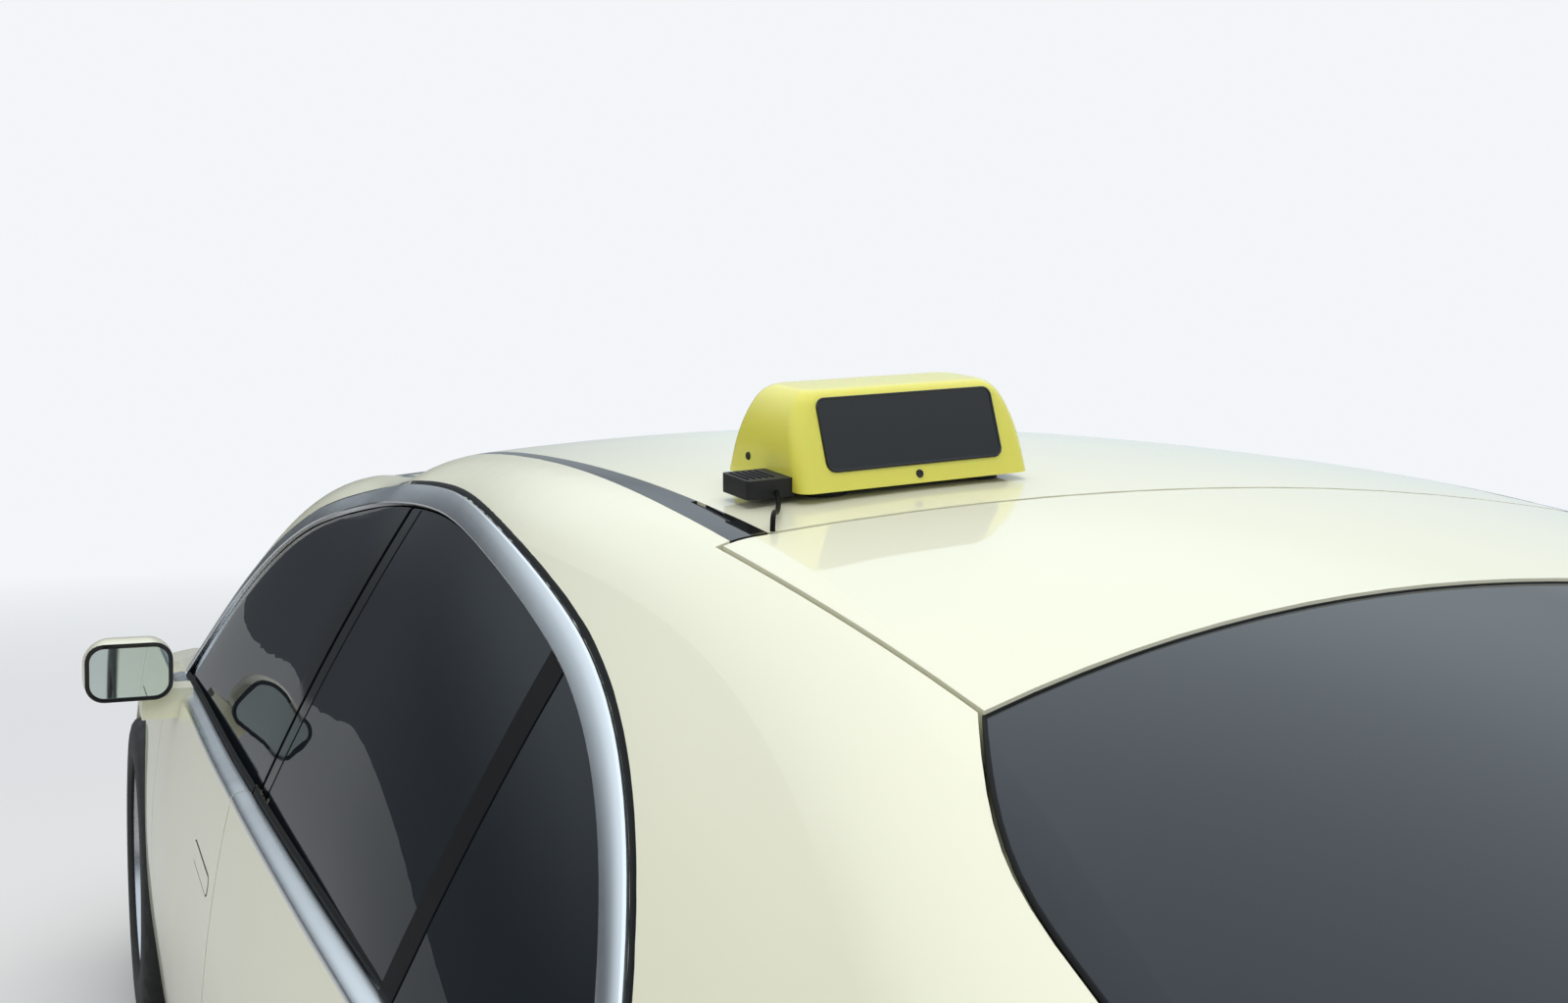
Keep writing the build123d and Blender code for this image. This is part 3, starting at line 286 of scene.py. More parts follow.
def piece_from(name, shape, finish, body, crease=40, whole=True):
    """Closes a bmesh into a piece with a finish, riding on a body."""
    if whole:
        bmesh.ops.remove_doubles(shape, verts=shape.verts, dist=1e-6)
        bmesh.ops.recalc_face_normals(shape, faces=shape.faces)
    mesh = bpy.data.meshes.new(name)
    shape.to_mesh(mesh)
    shape.free()
    mesh.materials.append(finish)
    mesh.shade_smooth()
    mesh.set_sharp_from_angle(angle=radians(crease))
    piece = add_object(name, mesh)
    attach(piece, body)
    return piece


def search_tree(*meshes):
    shape = bmesh.new()
    for mesh in meshes:
        shape.from_mesh(mesh)
    tree = BVHTree.FromBMesh(shape)
    shape.free()
    return tree


def surface(*names):
    """One search tree over the meshes of some nodes."""
    return search_tree(*(nodes[name].data for name in names))


def touch(tree, start, way):
    """The place where a ray meets a surface, and the surface's direction there."""
    place, normal, _, _ = tree.ray_cast(Vector(start), Vector(way).normalized())
    if place is None:
        return None, None
    return place, normal if normal.dot(Vector(way)) < 0 else -normal


NEARBY = [(0, 0)] + [(reach * cos(turn * pi / 4), reach * sin(turn * pi / 4))
                     for reach in (0.004, 0.008, 0.014, 0.022, 0.032, 0.042) for turn in range(8)]


def from_side(tree, hand, x, z):
    """Where a ray from far out on one side meets the car. Just past an edge the surface is carried on."""
    for shift, rise in NEARBY:
        place, normal = touch(tree, (x + shift, hand * 2, z + rise), (0, -hand, 0))
        if place is not None:
            return Vector((x, place.y + (shift * normal.x + rise * normal.z) / normal.y, z)), normal
    return None, None


def neighbours(row, index):
    """The items before and after one. At an end of the row the item itself stands in."""
    return row[max(index - 1, 0)], row[min(index + 1, len(row) - 1)]


def grid(columns, rows):
    """A flat grid over the square from -0.5 to 0.5, to be bent into shape."""
    shape = bmesh.new()
    bmesh.ops.create_grid(shape, x_segments=columns, y_segments=rows, size=0.5)
    return shape


def close_holes(shape):
    bmesh.ops.holes_fill(shape, edges=[e for e in shape.edges if e.is_boundary], sides=0)


def thicken(shape, thick):
    bmesh.ops.solidify(shape, geom=shape.faces[:] + shape.edges[:] + shape.verts[:], thickness=thick)
    return shape


def swept(frames, profile):
    """Carries an outline of (out, up) points along a row of (place, out, up) frames."""
    across, along = len(profile), len(frames) - 1
    shape = grid(across, along)
    for vert in shape.verts:
        out_by, up_by = profile[round((vert.co.x + 0.5) * across) % across]
        place, out, up = frames[round((vert.co.y + 0.5) * along)]
        vert.co = place + out * out_by + up * up_by
    bmesh.ops.remove_doubles(shape, verts=shape.verts, dist=1e-6)
    close_holes(shape)
    return shape


def laid(tree, hand, corner, columns, rows, lift, thick):
    """A sheet laid on the car's side. corner(u, v) gives the x and z of each of its points."""
    shape = grid(columns, rows)
    for vert in shape.verts:
        place, normal = from_side(tree, hand, *corner(vert.co.x + 0.5, vert.co.y + 0.5))
        vert.co = place + normal * lift
    bmesh.ops.recalc_face_normals(shape, faces=shape.faces)
    if shape.faces[:][0].normal.y * hand < 0:
        bmesh.ops.reverse_faces(shape, faces=shape.faces)
    return thicken(shape, thick)


def face_of(places):
    shape = bmesh.new()
    bmesh.ops.contextual_create(shape, geom=[shape.verts.new(place) for place in places])
    return shape


def block(size, place, bevel=0.0, segments=2, turn=None):
    """A cuboid with its edges rounded."""
    shape = bmesh.new()
    bmesh.ops.create_cube(shape, size=1)
    bmesh.ops.scale(shape, vec=size, verts=shape.verts)
    if bevel:
        bmesh.ops.bevel(shape, geom=shape.edges[:], offset=bevel, segments=segments, profile=0.5,
                        affect="EDGES", material=-1)
    if turn is not None:
        bmesh.ops.transform(shape, matrix=turn.to_4x4(), verts=shape.verts)
    bmesh.ops.translate(shape, vec=place, verts=shape.verts)
    return shape


def joined(shapes):
    """Several bmeshes as one."""
    whole = bmesh.new()
    for shape in shapes:
        mesh = bpy.data.meshes.new("part")
        shape.to_mesh(mesh)
        shape.free()
        whole.from_mesh(mesh)
        bpy.data.meshes.remove(mesh)
    return whole


def facing(place, out):
    """Moves a part from the origin to a place and turns its +Z to a direction."""
    return Matrix.Translation(place) @ out.to_track_quat("Z", "Y").to_matrix().to_4x4()


def cone(low, high, depth, segments, place=(0, 0, 0)):
    shape = bmesh.new()
    bmesh.ops.create_cone(shape, cap_ends=True, segments=segments, radius1=low, radius2=high, depth=depth,
                          matrix=Matrix.Translation(place))
    return shape


def placed(shape, matrix):
    bmesh.ops.transform(shape, matrix=matrix, verts=shape.verts)
    return shape


def spun(shape, steps, axis=(0, 0, 1)):
    """Turns an open line of points round an axis."""
    bmesh.ops.spin(shape, geom=shape.verts[:] + shape.edges[:], cent=(0, 0, 0), axis=axis, angle=2 * pi,
                   steps=steps, use_merge=True)
    return shape


def line_of(places, closed=False):
    shape = bmesh.new()
    verts = [shape.verts.new(place) for place in places]
    for pair in zip(verts, verts[1:]):
        shape.edges.new(pair)
    if closed:
        shape.edges.new((verts[-1], verts[0]))
    return shape


def lathed(line, steps):
    """A line of (radius, height) points turned round the Z axis."""
    return spun(line_of([(radius, 0, height) for radius, height in line]), steps)

# %% [markdown]
# The thin cable of the roof sign leaves the sign's foot, runs over the roof's edge and goes in under the
# seal of the tailgate. On the real car a fitter leads it there so that no hole has to be drilled.
# It is one spline with a round section, through the same points as the modelled cable.

# %% Sign cable
CABLE_POINTS = (
    (-0.9009, 0.5018, 1.4664), (-0.9180, 0.5080, 1.4575), (-0.9380, 0.5180, 1.4526),
    (-0.9570, 0.5290, 1.4506), (-0.9730, 0.5390, 1.4535), (-0.9872, 0.5470, 1.4483),
    (-0.9872, 0.5470, 1.4364),
)
CABLE_RADIUS = 0.0025


def add_cable():
    data = bpy.data.curves.new("sign_lead", "CURVE")
    data.dimensions = "3D"
    data.bevel_depth = CABLE_RADIUS
    data.bevel_resolution, data.resolution_u = 6, 16
    data.use_fill_caps = True
    line = data.splines.new("NURBS")
    line.points.add(len(CABLE_POINTS) - 1)
    for point, place in zip(line.points, CABLE_POINTS):
        point.co = (*place, 1)
    line.order_u = 3
    line.use_endpoint_u = True
    data.materials.append(seal_rubber)
    cable = add_object("sign_lead", data)
    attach(cable, "body")
    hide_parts("sign_cable")


add_cable()
print("cable with", len(CABLE_POINTS), "route points")

# %% [markdown]
# The side windows of both doors share one outline, a low bow. It is drawn as four arcs that run into
# each other, two from the top of the bow forward and two from there to the rear. The outline is needed
# again and again below, for the bright moulding, the seals and the covers, so it is worked out once.

# %% Outline of the side windows
BELT_ANCHOR, BELT_AT_ANCHOR, BELT_SLOPE = 0.950, 0.965, 0.0236


def belt_z(x):
    return BELT_AT_ANCHOR + (BELT_ANCHOR - x) * BELT_SLOPE


WINDOW_FRONT = (1.070, belt_z(1.070) + 0.002)
WINDOW_A_TOP = (0.450, 1.328)
WINDOW_APEX = (-0.230, 1.400)
WINDOW_C_TOP = (-0.860, 1.322)
WINDOW_REAR = (-1.400, belt_z(-1.400) + 0.007)


def arc(start, heading, end, steps):
    """Points on an arc that leaves start in a known direction, and the direction at its end."""
    chord = atan2(end[1] - start[1], end[0] - start[0])
    bend = (chord - heading + pi) % (2 * pi) - pi
    radius = hypot(end[0] - start[0], end[1] - start[1]) / (2 * sin(bend))
    points = []
    for step in range(1, steps + 1):
        part = bend * step / steps
        reach = 2 * radius * sin(part)
        points.append((start[0] + reach * cos(heading + part), start[1] + reach * sin(heading + part)))
    return points, heading + 2 * bend


def window_arch(steps=24):
    """The bow over both side windows, from its rear foot to its front foot, as (x, z)."""
    ahead, heading = arc(WINDOW_APEX, 0, WINDOW_A_TOP, steps)
    pillar, _ = arc(WINDOW_A_TOP, heading, WINDOW_FRONT, steps)
    back, heading = arc(WINDOW_APEX, pi, WINDOW_C_TOP, steps)
    tail, _ = arc(WINDOW_C_TOP, heading, WINDOW_REAR, steps)
    return [*reversed(back + tail), WINDOW_APEX, *ahead, *pillar]


ARCH = window_arch()


def arch_height(x):
    """Height of the bow over one place along the car."""
    for (rear, low), (front, high) in zip(ARCH, ARCH[1:]):
        if rear <= x <= front:
            return low + (high - low) * (x - rear) / (front - rear)
    return ARCH[0][1]


def moved_out(path, distance):
    """A path shifted sideways in its own plane, to its left when distance is positive."""
    moved = []
    for index, (x, z) in enumerate(path):
        before, after = neighbours(path, index)
        run, rise = after[0] - before[0], after[1] - before[1]
        scale = distance / hypot(run, rise)
        moved.append((x - rise * scale, z + run * scale))
    return moved


def side_frames(tree, hand, inner, outer):
    """Frames on the car's side along the bow, between two distances from it. Seen from the side, a step
    along their last vector is as long as it says, so trim keeps its width where the roof curves in."""
    rows = []
    for near, far in zip(moved_out(ARCH, inner), moved_out(ARCH, outer)):
        low, high = from_side(tree, hand, *near)[0], from_side(tree, hand, *far)[0]
        if low is not None and high is not None:
            rows.append(((low + high) / 2, high - low))
    frames = []
    for index, (place, up) in enumerate(rows):
        before, after = neighbours(rows, index)
        out = (after[0] - before[0]).cross(up).normalized()
        frames.append((place, -out if out.y * hand < 0 else out, up / (outer - inner)))
    return frames


print("bow of", len(ARCH), "points, highest", round(max(z for _, z in ARCH), 3))

# %% [markdown]
# A bright moulding runs along the bow. It is rolled from a strip of bright metal: a narrow bevel turns
# down towards the glass and a wider crown catches the sky, with a thin black rubber lip outside it.
# Inside it a black seal fills the gap to the door's glass and covers the flange behind the glass.

# %% Bright moulding, its lip and the window seal
CROWN = (
    (-0.0060, -0.0142), (0.0008, -0.0143), (0.0024, -0.0128), (0.0031, -0.0070), (0.0033, 0.0000),
    (0.0031, 0.0066), (0.0022, 0.0112), (0.0004, 0.0129), (-0.0024, 0.0131),
)
LIP = (
    (-0.0030, -0.0046), (-0.0002, -0.0046), (0.0003, -0.0026), (0.0003, 0.0024), (-0.0008, 0.0040),
    (-0.0030, 0.0040),
)
CROWN_RUN, LIP_RUN, FLANGE_RUN = (0.006, 0.022), (0.0250, 0.0340), (-0.013, -0.003)
SEAL_BACK = 0.003           # how far the seal's top stays behind the bright moulding


def add_mouldings():
    bright = surface("window_chrome")
    for hand, side, _ in HANDS:
        frames = side_frames(bright, hand, *CROWN_RUN)
        piece = piece_from(f"window_moulding_{side}", swept(frames, CROWN), chrome, "body", crease=24)
        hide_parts("window_chrome")
        skin = surface(f"side_frame_{side}")
        lip = swept(side_frames(skin, hand, *LIP_RUN), LIP)
        piece_from(f"moulding_lip_{side}", lip, seal_rubber, "body")
        flange = side_frames(skin, hand, *FLANGE_RUN)
        rise = sum((b[0] - a[0]).dot(a[1]) for a, b in zip(flange, frames)) / len(frames) - SEAL_BACK
        seal = ((0.0001, -0.0075), (0.0006, -0.0075), (0.0006, 0.0036), (rise - 0.001, 0.0036),
                (rise, 0.0045), (rise, 0.0100), (0.0001, 0.0100))
        piece_from(f"window_seal_{side}", swept(flange, seal), seal_rubber, "body")
        print(side, "moulding of", len(frames), "frames, seal", round(rise * 1000, 1), "mm deep")


add_mouldings()

# %% [markdown]
# Below the glass a wide half-round bright moulding lies on the doors' shoulder, one length to a door.
# A wiper lip of rubber stands between it and the glass and keeps the rain out of the door.

# %% Belt mouldings and wiper lips
BELT_RUNS = (("door_f", 1.096, -0.029), ("door_r", -0.039, -1.485))
BELT_HALF = 0.0155
BELT_PROFILE = (
    (-0.0010, -BELT_HALF), (0.0030, -0.0152), (0.0062, -0.0120), (0.0080, -0.0060), (0.0084, 0.0000),
    (0.0078, 0.0060), (0.0058, 0.0115), (0.0026, 0.0148), (-0.0030, BELT_HALF),
)
BELT_IN = 0.0145
WIPER_IN = 0.0330
WIPER_PROFILE = ((-0.002, -0.0045), (0.0095, -0.0040), (0.0105, -0.0025), (0.0092, 0.0),
                 (0.0040, 0.0030), (-0.002, 0.0035))
WIPER_REAR = -1.39          # the lip ends where the shoulder runs out
EDGE_FROM, EDGE_TO = 0.003, 0.011     # where the shoulder's height and lean are read, in from its edge
ABOVE_DOORS = 1.3


def on_shoulder(tree, x, y):
    return touch(tree, (x, y, ABOVE_DOORS), DOWN)[0]


def shoulder_edge(tree, hand, x):
    """How far out the flat shoulder of a door reaches at one place."""
    y, step = 0.935, 0.0005
    while y > 0.85:
        outer, inner = on_shoulder(tree, x, hand * y), on_shoulder(tree, x, hand * (y - step))
        if outer is not None and inner is not None and inner.z - outer.z < 0.0003:
            return y
        y -= step
    return None


def smoothed(values, reach=3):
    groups = [values[max(i - reach, 0):i + reach + 1] for i in range(len(values))]
    return [sum(group) / len(group) for group in groups]


def shoulder_frames(tree, hand, start, end, steps=60):
    """Frames along a door's shoulder, at its outer edge, facing up and out."""
    xs = [start + (end - start) * step / steps for step in range(steps + 1)]
    edges = smoothed([shoulder_edge(tree, hand, x) for x in xs])
    lows = [on_shoulder(tree, x, hand * (edge - EDGE_FROM)).z for x, edge in zip(xs, edges)]
    highs = [on_shoulder(tree, x, hand * (edge - EDGE_TO)).z for x, edge in zip(xs, edges)]
    leans = smoothed([(high - low) / (EDGE_TO - EDGE_FROM) for low, high in zip(lows, highs)])
    frames = []
    for x, edge, rise, lean in zip(xs, edges, smoothed(lows), leans):
        up = Vector((0, hand, -lean)).normalized()
        out = Vector((0, hand * lean, 1)).normalized()
        frames.append((Vector((x, hand * (edge - EDGE_FROM), rise)), out, up))
    return frames


def shifted_in(frames, distance):
    """Frames moved away from the shoulder's edge, towards the glass."""
    return [(place - up * (distance - EDGE_FROM), out, up) for place, out, up in frames]


def add_belt():
    for hand, _, mark in HANDS:
        for door, start, end in BELT_RUNS:
            body, label = door + mark, door[-1] + mark
            edge = shoulder_frames(surface(body), hand, start, end)
            belt = swept(shifted_in(edge, BELT_IN), BELT_PROFILE)
            piece_from(f"belt_moulding_{label}", belt, chrome, body, crease=50)
            wiper = shifted_in([frame for frame in edge if frame[0].x > WIPER_REAR], WIPER_IN)
            piece_from(f"wiper_lip_{label}", swept(wiper, WIPER_PROFILE), seal_rubber, body)
            print(body, "moulding from", round(edge[0][0].x, 3), "to", round(edge[-1][0].x, 3))


add_belt()

# %% [markdown]
# Gloss black covers hide the door frames where front and rear glass meet, and a matt bar parts the
# small rear quarter from the sliding glass. Both are moulded strips that are clipped on from outside.
# Between the doors' covers a dark strip on the body closes the view into the car.

# %% Covers between the windows
PILLAR_LEAN = 0.138
COVERS = (
    ("pillar_cover", "f", 0.035, -0.0262, PILLAR_LEAN, 0.0010, 0.0022),
    ("pillar_cover", "r", -0.0420, -0.085, PILLAR_LEAN, 0.0010, 0.0022),
    ("quarter_bar", "r", -0.865, -0.911, -0.020, 0.0010, 0.0025),
)
COVER_FOOT = 0.004
COVER_HEAD = 0.0075
STRIP = (-0.0240, -0.0440)
STRIP_FOOT, STRIP_HEAD = 0.004, 0.008
MIDWAY = 0.4                # the share of the lean where the bow's height is read


def cover_corner(front, rear, lean):
    def corner(u, v):
        base = front + (rear - front) * u
        foot = belt_z(base) + COVER_FOOT
        head = arch_height(base - lean * MIDWAY) - COVER_HEAD
        z = foot + (head - foot) * v
        x = base - lean * (z - foot)
        return x, min(z, arch_height(x) - COVER_HEAD)
    return corner


def strip_corner(u, v):
    base = STRIP[0] + (STRIP[1] - STRIP[0]) * u
    foot = belt_z(base)
    z = foot + STRIP_FOOT + (arch_height(base - PILLAR_LEAN * MIDWAY) - STRIP_HEAD - foot) * v
    return base - PILLAR_LEAN * (z - foot), z


def add_covers():
    for hand, side, mark in HANDS:
        for name, door, front, rear, lean, lift, thick in COVERS:
            finish = gloss_black if name == "pillar_cover" else seal_rubber
            glass = surface(f"glass_{door}{mark}")
            cover = laid(glass, hand, cover_corner(front, rear, lean), 4, 24, lift, thick)
            piece_from(f"{name}_{door}{mark}", cover, finish, f"door_{door}{mark}")
        strip = laid(surface(f"side_frame_{side}"), hand, strip_corner, 2, 24, 0.0003, 0.0012)
        piece_from(f"pillar_strip_{side}", strip, seal_rubber, "body")


add_covers()
print("covers on both sides")

# %% [markdown]
# The windscreen and the rear window are glued in. A black ceramic band is fired onto the edge of such a
# glass to keep the sun off the glue, and a thin rubber lip fills the gap around it. Both follow the edge
# of the modelled glass, so the edge is read from its mesh.

# %% Edges of glued glass
LIP_ROUND = ((-0.0015, -0.0016), (0.0004, -0.0016), (0.0010, -0.0006), (0.0010, 0.0008),
             (0.0004, 0.0020), (-0.0015, 0.0020))
LIP_OUT = 0.003
BAND_EDGE = 0.003
# the dark rear glass hides its band, so only the windscreen has one, this wide
GLUED = (("windscreen", "body", 0.034), ("rear_window", "tailgate", None))
EDGE_PLACES = 160


def top_loop(name, level=0.25):
    """The edge of a node's upper face, as a ring of places from its front left corner."""
    shape = bmesh.new()
    shape.from_mesh(nodes[name].data)
    bmesh.ops.remove_doubles(shape, verts=shape.verts, dist=2e-5)
    shape.normal_update()
    rim = [e for e in shape.edges if len(e.link_faces) == 2
           and sorted(f.normal.z > level for f in e.link_faces) == [False, True]]
    beside = {}
    for edge in rim:
        for vert in edge.verts:
            beside.setdefault(vert, []).append(edge.other_vert(vert))
    rings = []
    left = dict.fromkeys(beside)        # keeps the mesh's order, so each run starts at the same place
    while left:
        ring = [left.popitem()[0]]
        while True:
            onward = [v for v in beside[ring[-1]] if v in left]
            if not onward:
                break
            del left[onward[0]]
            ring.append(onward[0])
        rings.append([v.co.copy() for v in ring])
    shape.free()
    ring = max(rings, key=len)
    corner = max(range(len(ring)), key=lambda index: ring[index].x + ring[index].y)
    return ring[corner:] + ring[:corner]


def evenly(ring, count):
    """A closed ring of places at even distances."""
    closed = ring + ring[:1]
    lengths = [0.0]
    for a, b in zip(closed, closed[1:]):
        lengths.append(lengths[-1] + (b - a).length)
    places, index = [], 0
    for step in range(count):
        goal = lengths[-1] * step / count
        while lengths[index + 1] < goal:
            index += 1
        share = (goal - lengths[index]) / max(lengths[index + 1] - lengths[index], 1e-9)
        places.append(closed[index].lerp(closed[index + 1], share))
    return places


def edge_frames(tree, places, inner, outer):
    """Frames round a closed ring on a glass, between two distances from the ring towards its middle."""
    middle = sum(places, Vector()) / len(places)
    frames = []
    for index, place in enumerate(places):
        along = places[(index + 1) % len(places)] - places[index - 1]
        up = along.cross(DOWN).normalized()
        if up.dot(place - middle) < 0:
            up.negate()
        far, near = (touch(tree, place - up * distance - DOWN * 0.2, DOWN)[0] for distance in (inner, outer))
        if far is None or near is None:
            continue
        lean = (far - near).normalized()
        out = along.cross(lean).normalized()
        frames.append(((far + near) / 2, -out if out.z < 0 else out, lean))
    frames.append(frames[0])
    return frames


def add_glued_edges():
    for name, body, width in GLUED:
        tree = surface(name)
        places = evenly(top_loop(name), EDGE_PLACES)
        if width:
            half = (width - BAND_EDGE) / 2
            band = ((0.0001, -half), (0.0004, -half), (0.0004, half), (0.0001, half))
            frames = edge_frames(tree, places, BAND_EDGE, width)
            piece_from(f"{name}_band", swept(frames, band), gloss_black, body)
        edge = [(place + up * LIP_OUT, out, up) for place, out, up in edge_frames(tree, places, 0.001, 0.005)]
        piece_from(f"{name}_lip", swept(edge, LIP_ROUND), seal_rubber, body)
        print(name, "edge of", len(places), "places and", len(edge), "frames")


add_glued_edges()

# %% [markdown]
# The black trim over the roof seam has a cover for the roof rack's mount near its rear end, in two
# pieces. They are thin plates that follow the trim below them.

# %% Roof trim details
TRIM_COVERS = ((-0.925, -0.889), (-0.881, -0.840))
TRIM_MIDDLE, TRIM_WIDE = 0.562, 0.0048


def add_trim_details():
    tree = surface("roof_ditch_trims")
    for hand, side, _ in HANDS:
        covers = []
        for start, end in TRIM_COVERS:
            shape = grid(8, 1)
            for vert in shape.verts:
                x = start + (end - start) * (vert.co.x + 0.5)
                seen, normal = touch(tree, (x, hand * (TRIM_MIDDLE + TRIM_WIDE * vert.co.y), 1.8), DOWN)
                vert.co = seen + normal * 0.0002
            covers.append(thicken(shape, 0.0008))
        piece_from(f"trim_covers_{side}", joined(covers), grained_black, "body")


add_trim_details()
print("roof trim covered on both sides")

# %% [markdown]
# The sign's housing is moulded in one piece from yellow plastic. Its faces lean in and its ends are
# rounded over, so that it slips out of the mould. It is built here from rounded rectangles stacked up,
# which draw in along a quarter ellipse at the ends and a tighter one at the faces. Its skirt hangs over
# the tray below. The black panels, bare here, stand a little proud of the faces behind a thin rim.

# %% Roof sign
SIGN_DEPTH, SIGN_WIDTH, SIGN_HEIGHT = 0.168, 0.280, 0.096
SIGN_PLACE = (0.002, 0.0025, -0.007)        # from the middle of the modelled housing's base
SIGN_LEAN = 0.038
END_ROUND, END_START = 0.034, 0.022         # how far an end draws in, and the height where it starts
TOP_ROUND = 0.012
CORNER_LOW, CORNER_HIGH = 0.014, 0.017
RIM = ((-0.0006, -0.0016), (0.0007, -0.0012), (0.0011, 0.0), (0.0007, 0.0012), (-0.0006, 0.0016))
PANEL_HALVES, PANEL_ROUND = (0.1055, 0.0370), 0.0090
PANEL_MIDDLE, PANEL_PROUD = 0.0535, 0.0012
SCREW_RADIUS, SCREW_HIGH = 0.0045, 0.0090
END_SCREW = (0.022, 0.030)                  # height, and how far ahead of the middle
RIB_COUNT, RIB_SIZE, RIB_STEP = 5, (0.040, 0.0022, 0.0022), 0.007
FIRST_RIB = (0.155, -0.033)                 # sideways and ahead of the sign's middle, on the plug block


def rounded_ring(half_wide, half_high, radius, steps=8):
    """Points and outward directions round a rounded rectangle."""
    ring = []
    for turn, (h, v) in enumerate(((1, 1), (-1, 1), (-1, -1), (1, -1))):
        for step in range(steps + 1):
            angle = turn * pi / 2 + (pi / 2) * step / steps
            c, s = cos(angle), sin(angle)
            ring.append((h * (half_wide - radius) + radius * c, v * (half_high - radius) + radius * s, c, s))
    return ring


def ring_frames(middle, across, up, out, ring):
    frames = [(middle + across * a + up * b, out, across * c + up * d) for a, b, c, d in ring]
    frames.append(frames[0])
    return frames


def panel_place(face):
    """Middle and up direction of the front or rear panel of the modelled sign."""
    low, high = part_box("sign_panels")
    split = (low[0] + high[0]) / 2
    own = [v.co for v in nodes["sign_panels"].data.vertices if (v.co.x - split) * face > 0]
    tree = surface("sign_panels")
    start = sum(own, Vector()) / len(own) + Vector((face * 0.3, 0, 0))
    hits = [touch(tree, start + Vector(shift), (-face, 0, 0))[0]
            for shift in ((0, 0, 0), (0, 0.04, 0), (0, 0, 0.015))]
    out = (hits[1] - hits[0]).cross(hits[2] - hits[0]).normalized()
    if out.x * face < 0:
        out.negate()
    level = Vector((0, 0, 1)).cross(out).normalized()
    best = None
    for tenth in range(-80, 81):        # tenths of a degree; the smallest box round the panel wins
        axes = [Matrix.Rotation(radians(tenth / 10), 3, out) @ level]
        axes.append(out.cross(axes[0]))
        ends = [[pick((co - hits[0]).dot(axis) for co in own) for pick in (min, max)] for axis in axes]
        area = (ends[0][1] - ends[0][0]) * (ends[1][1] - ends[1][0])
        if best is None or area < best[0]:
            middle = hits[0] + axes[0] * sum(ends[0]) / 2 + axes[1] * sum(ends[1]) / 2
            best = (area, middle, axes[1])
    return best[1], best[2] if best[2].z > 0 else -best[2]


def sign_frame():
    """Middle of the housing's base and the sign's own directions: ahead, sideways and up."""
    front, rear = panel_place(1), panel_place(-1)
    up = (front[1] + rear[1]).normalized()
    ahead = (front[0] - rear[0]).normalized()
    ahead = (ahead - up * ahead.dot(up)).normalized()
    sideways = up.cross(ahead)
    corners = [v.co for v in nodes["sign_housing"].data.vertices]
    spans = [[pick(co.dot(axis) for co in corners) for pick in (min, max)] for axis in (ahead, sideways, up)]
    middle = ahead * sum(spans[0]) / 2 + sideways * sum(spans[1]) / 2 + up * spans[2][0]
    print("modelled housing", [round(high - low, 4) for low, high in spans], "m deep, wide and high")
    return middle, ahead, sideways, up


def screw(place, out, radius=SCREW_RADIUS):
    """A low screw head with a round hollow in its top, standing on a surface."""
    shape = cone(radius, radius * 0.86, 0.0016, 24)
    top = max(shape.faces, key=lambda face: face.calc_center_median().z)
    bmesh.ops.inset_individual(shape, faces=[top], thickness=radius * 0.45)
    bmesh.ops.translate(shape, vec=(0, 0, -0.0009), verts=top.verts)
    return placed(shape, facing(place + out * 0.0006, out))


def drawn_in(height, start, reach):
    """How far a quarter ellipse that starts at one height and ends at the top has come in."""
    share = max(0, (height - start) / (SIGN_HEIGHT - start))
    return reach * (1 - (1 - min(share, 1) ** 2) ** 0.5)


def housing_rings():
    """The height of each ring of the housing, and how far it lies in on the top face."""
    skirt = [END_START * step / 4 for step in range(4)]
    sides = [END_START + (SIGN_HEIGHT - END_START) * sin(radians(step * 4.5)) for step in range(21)]
    return [(height, 0.0) for height in skirt + sides] + [
        (SIGN_HEIGHT + 0.0003, 0.006), (SIGN_HEIGHT + 0.0005, 0.016)]


def add_housing():
    base, ahead, sideways, up = sign_frame()
    base = base + ahead * SIGN_PLACE[0] + sideways * SIGN_PLACE[1] + up * SIGN_PLACE[2]
    shape = bmesh.new()
    before = None
    for height, inset in housing_rings():
        share = min(height / SIGN_HEIGHT, 1)
        wide = SIGN_WIDTH / 2 - drawn_in(height, END_START, END_ROUND) - inset
        deep = SIGN_DEPTH / 2 - SIGN_LEAN * share - inset
        deep -= drawn_in(height, SIGN_HEIGHT - TOP_ROUND, TOP_ROUND)
        corner = min(CORNER_LOW + (CORNER_HIGH - CORNER_LOW) * share, deep - 0.002)
        row = [shape.verts.new(base + sideways * a + ahead * b + up * height)
               for a, b, _, _ in rounded_ring(wide, deep, corner)]
        if before:
            for index in range(len(row)):
                after = (index + 1) % len(row)
                shape.faces.new((before[index], before[after], row[after], row[index]))
        before = row
    close_holes(shape)
    piece = piece_from("sign_shell", shape, sign_yellow, "body", crease=60)
    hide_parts("sign_housing")
    return search_tree(piece.data), base, ahead, sideways, up


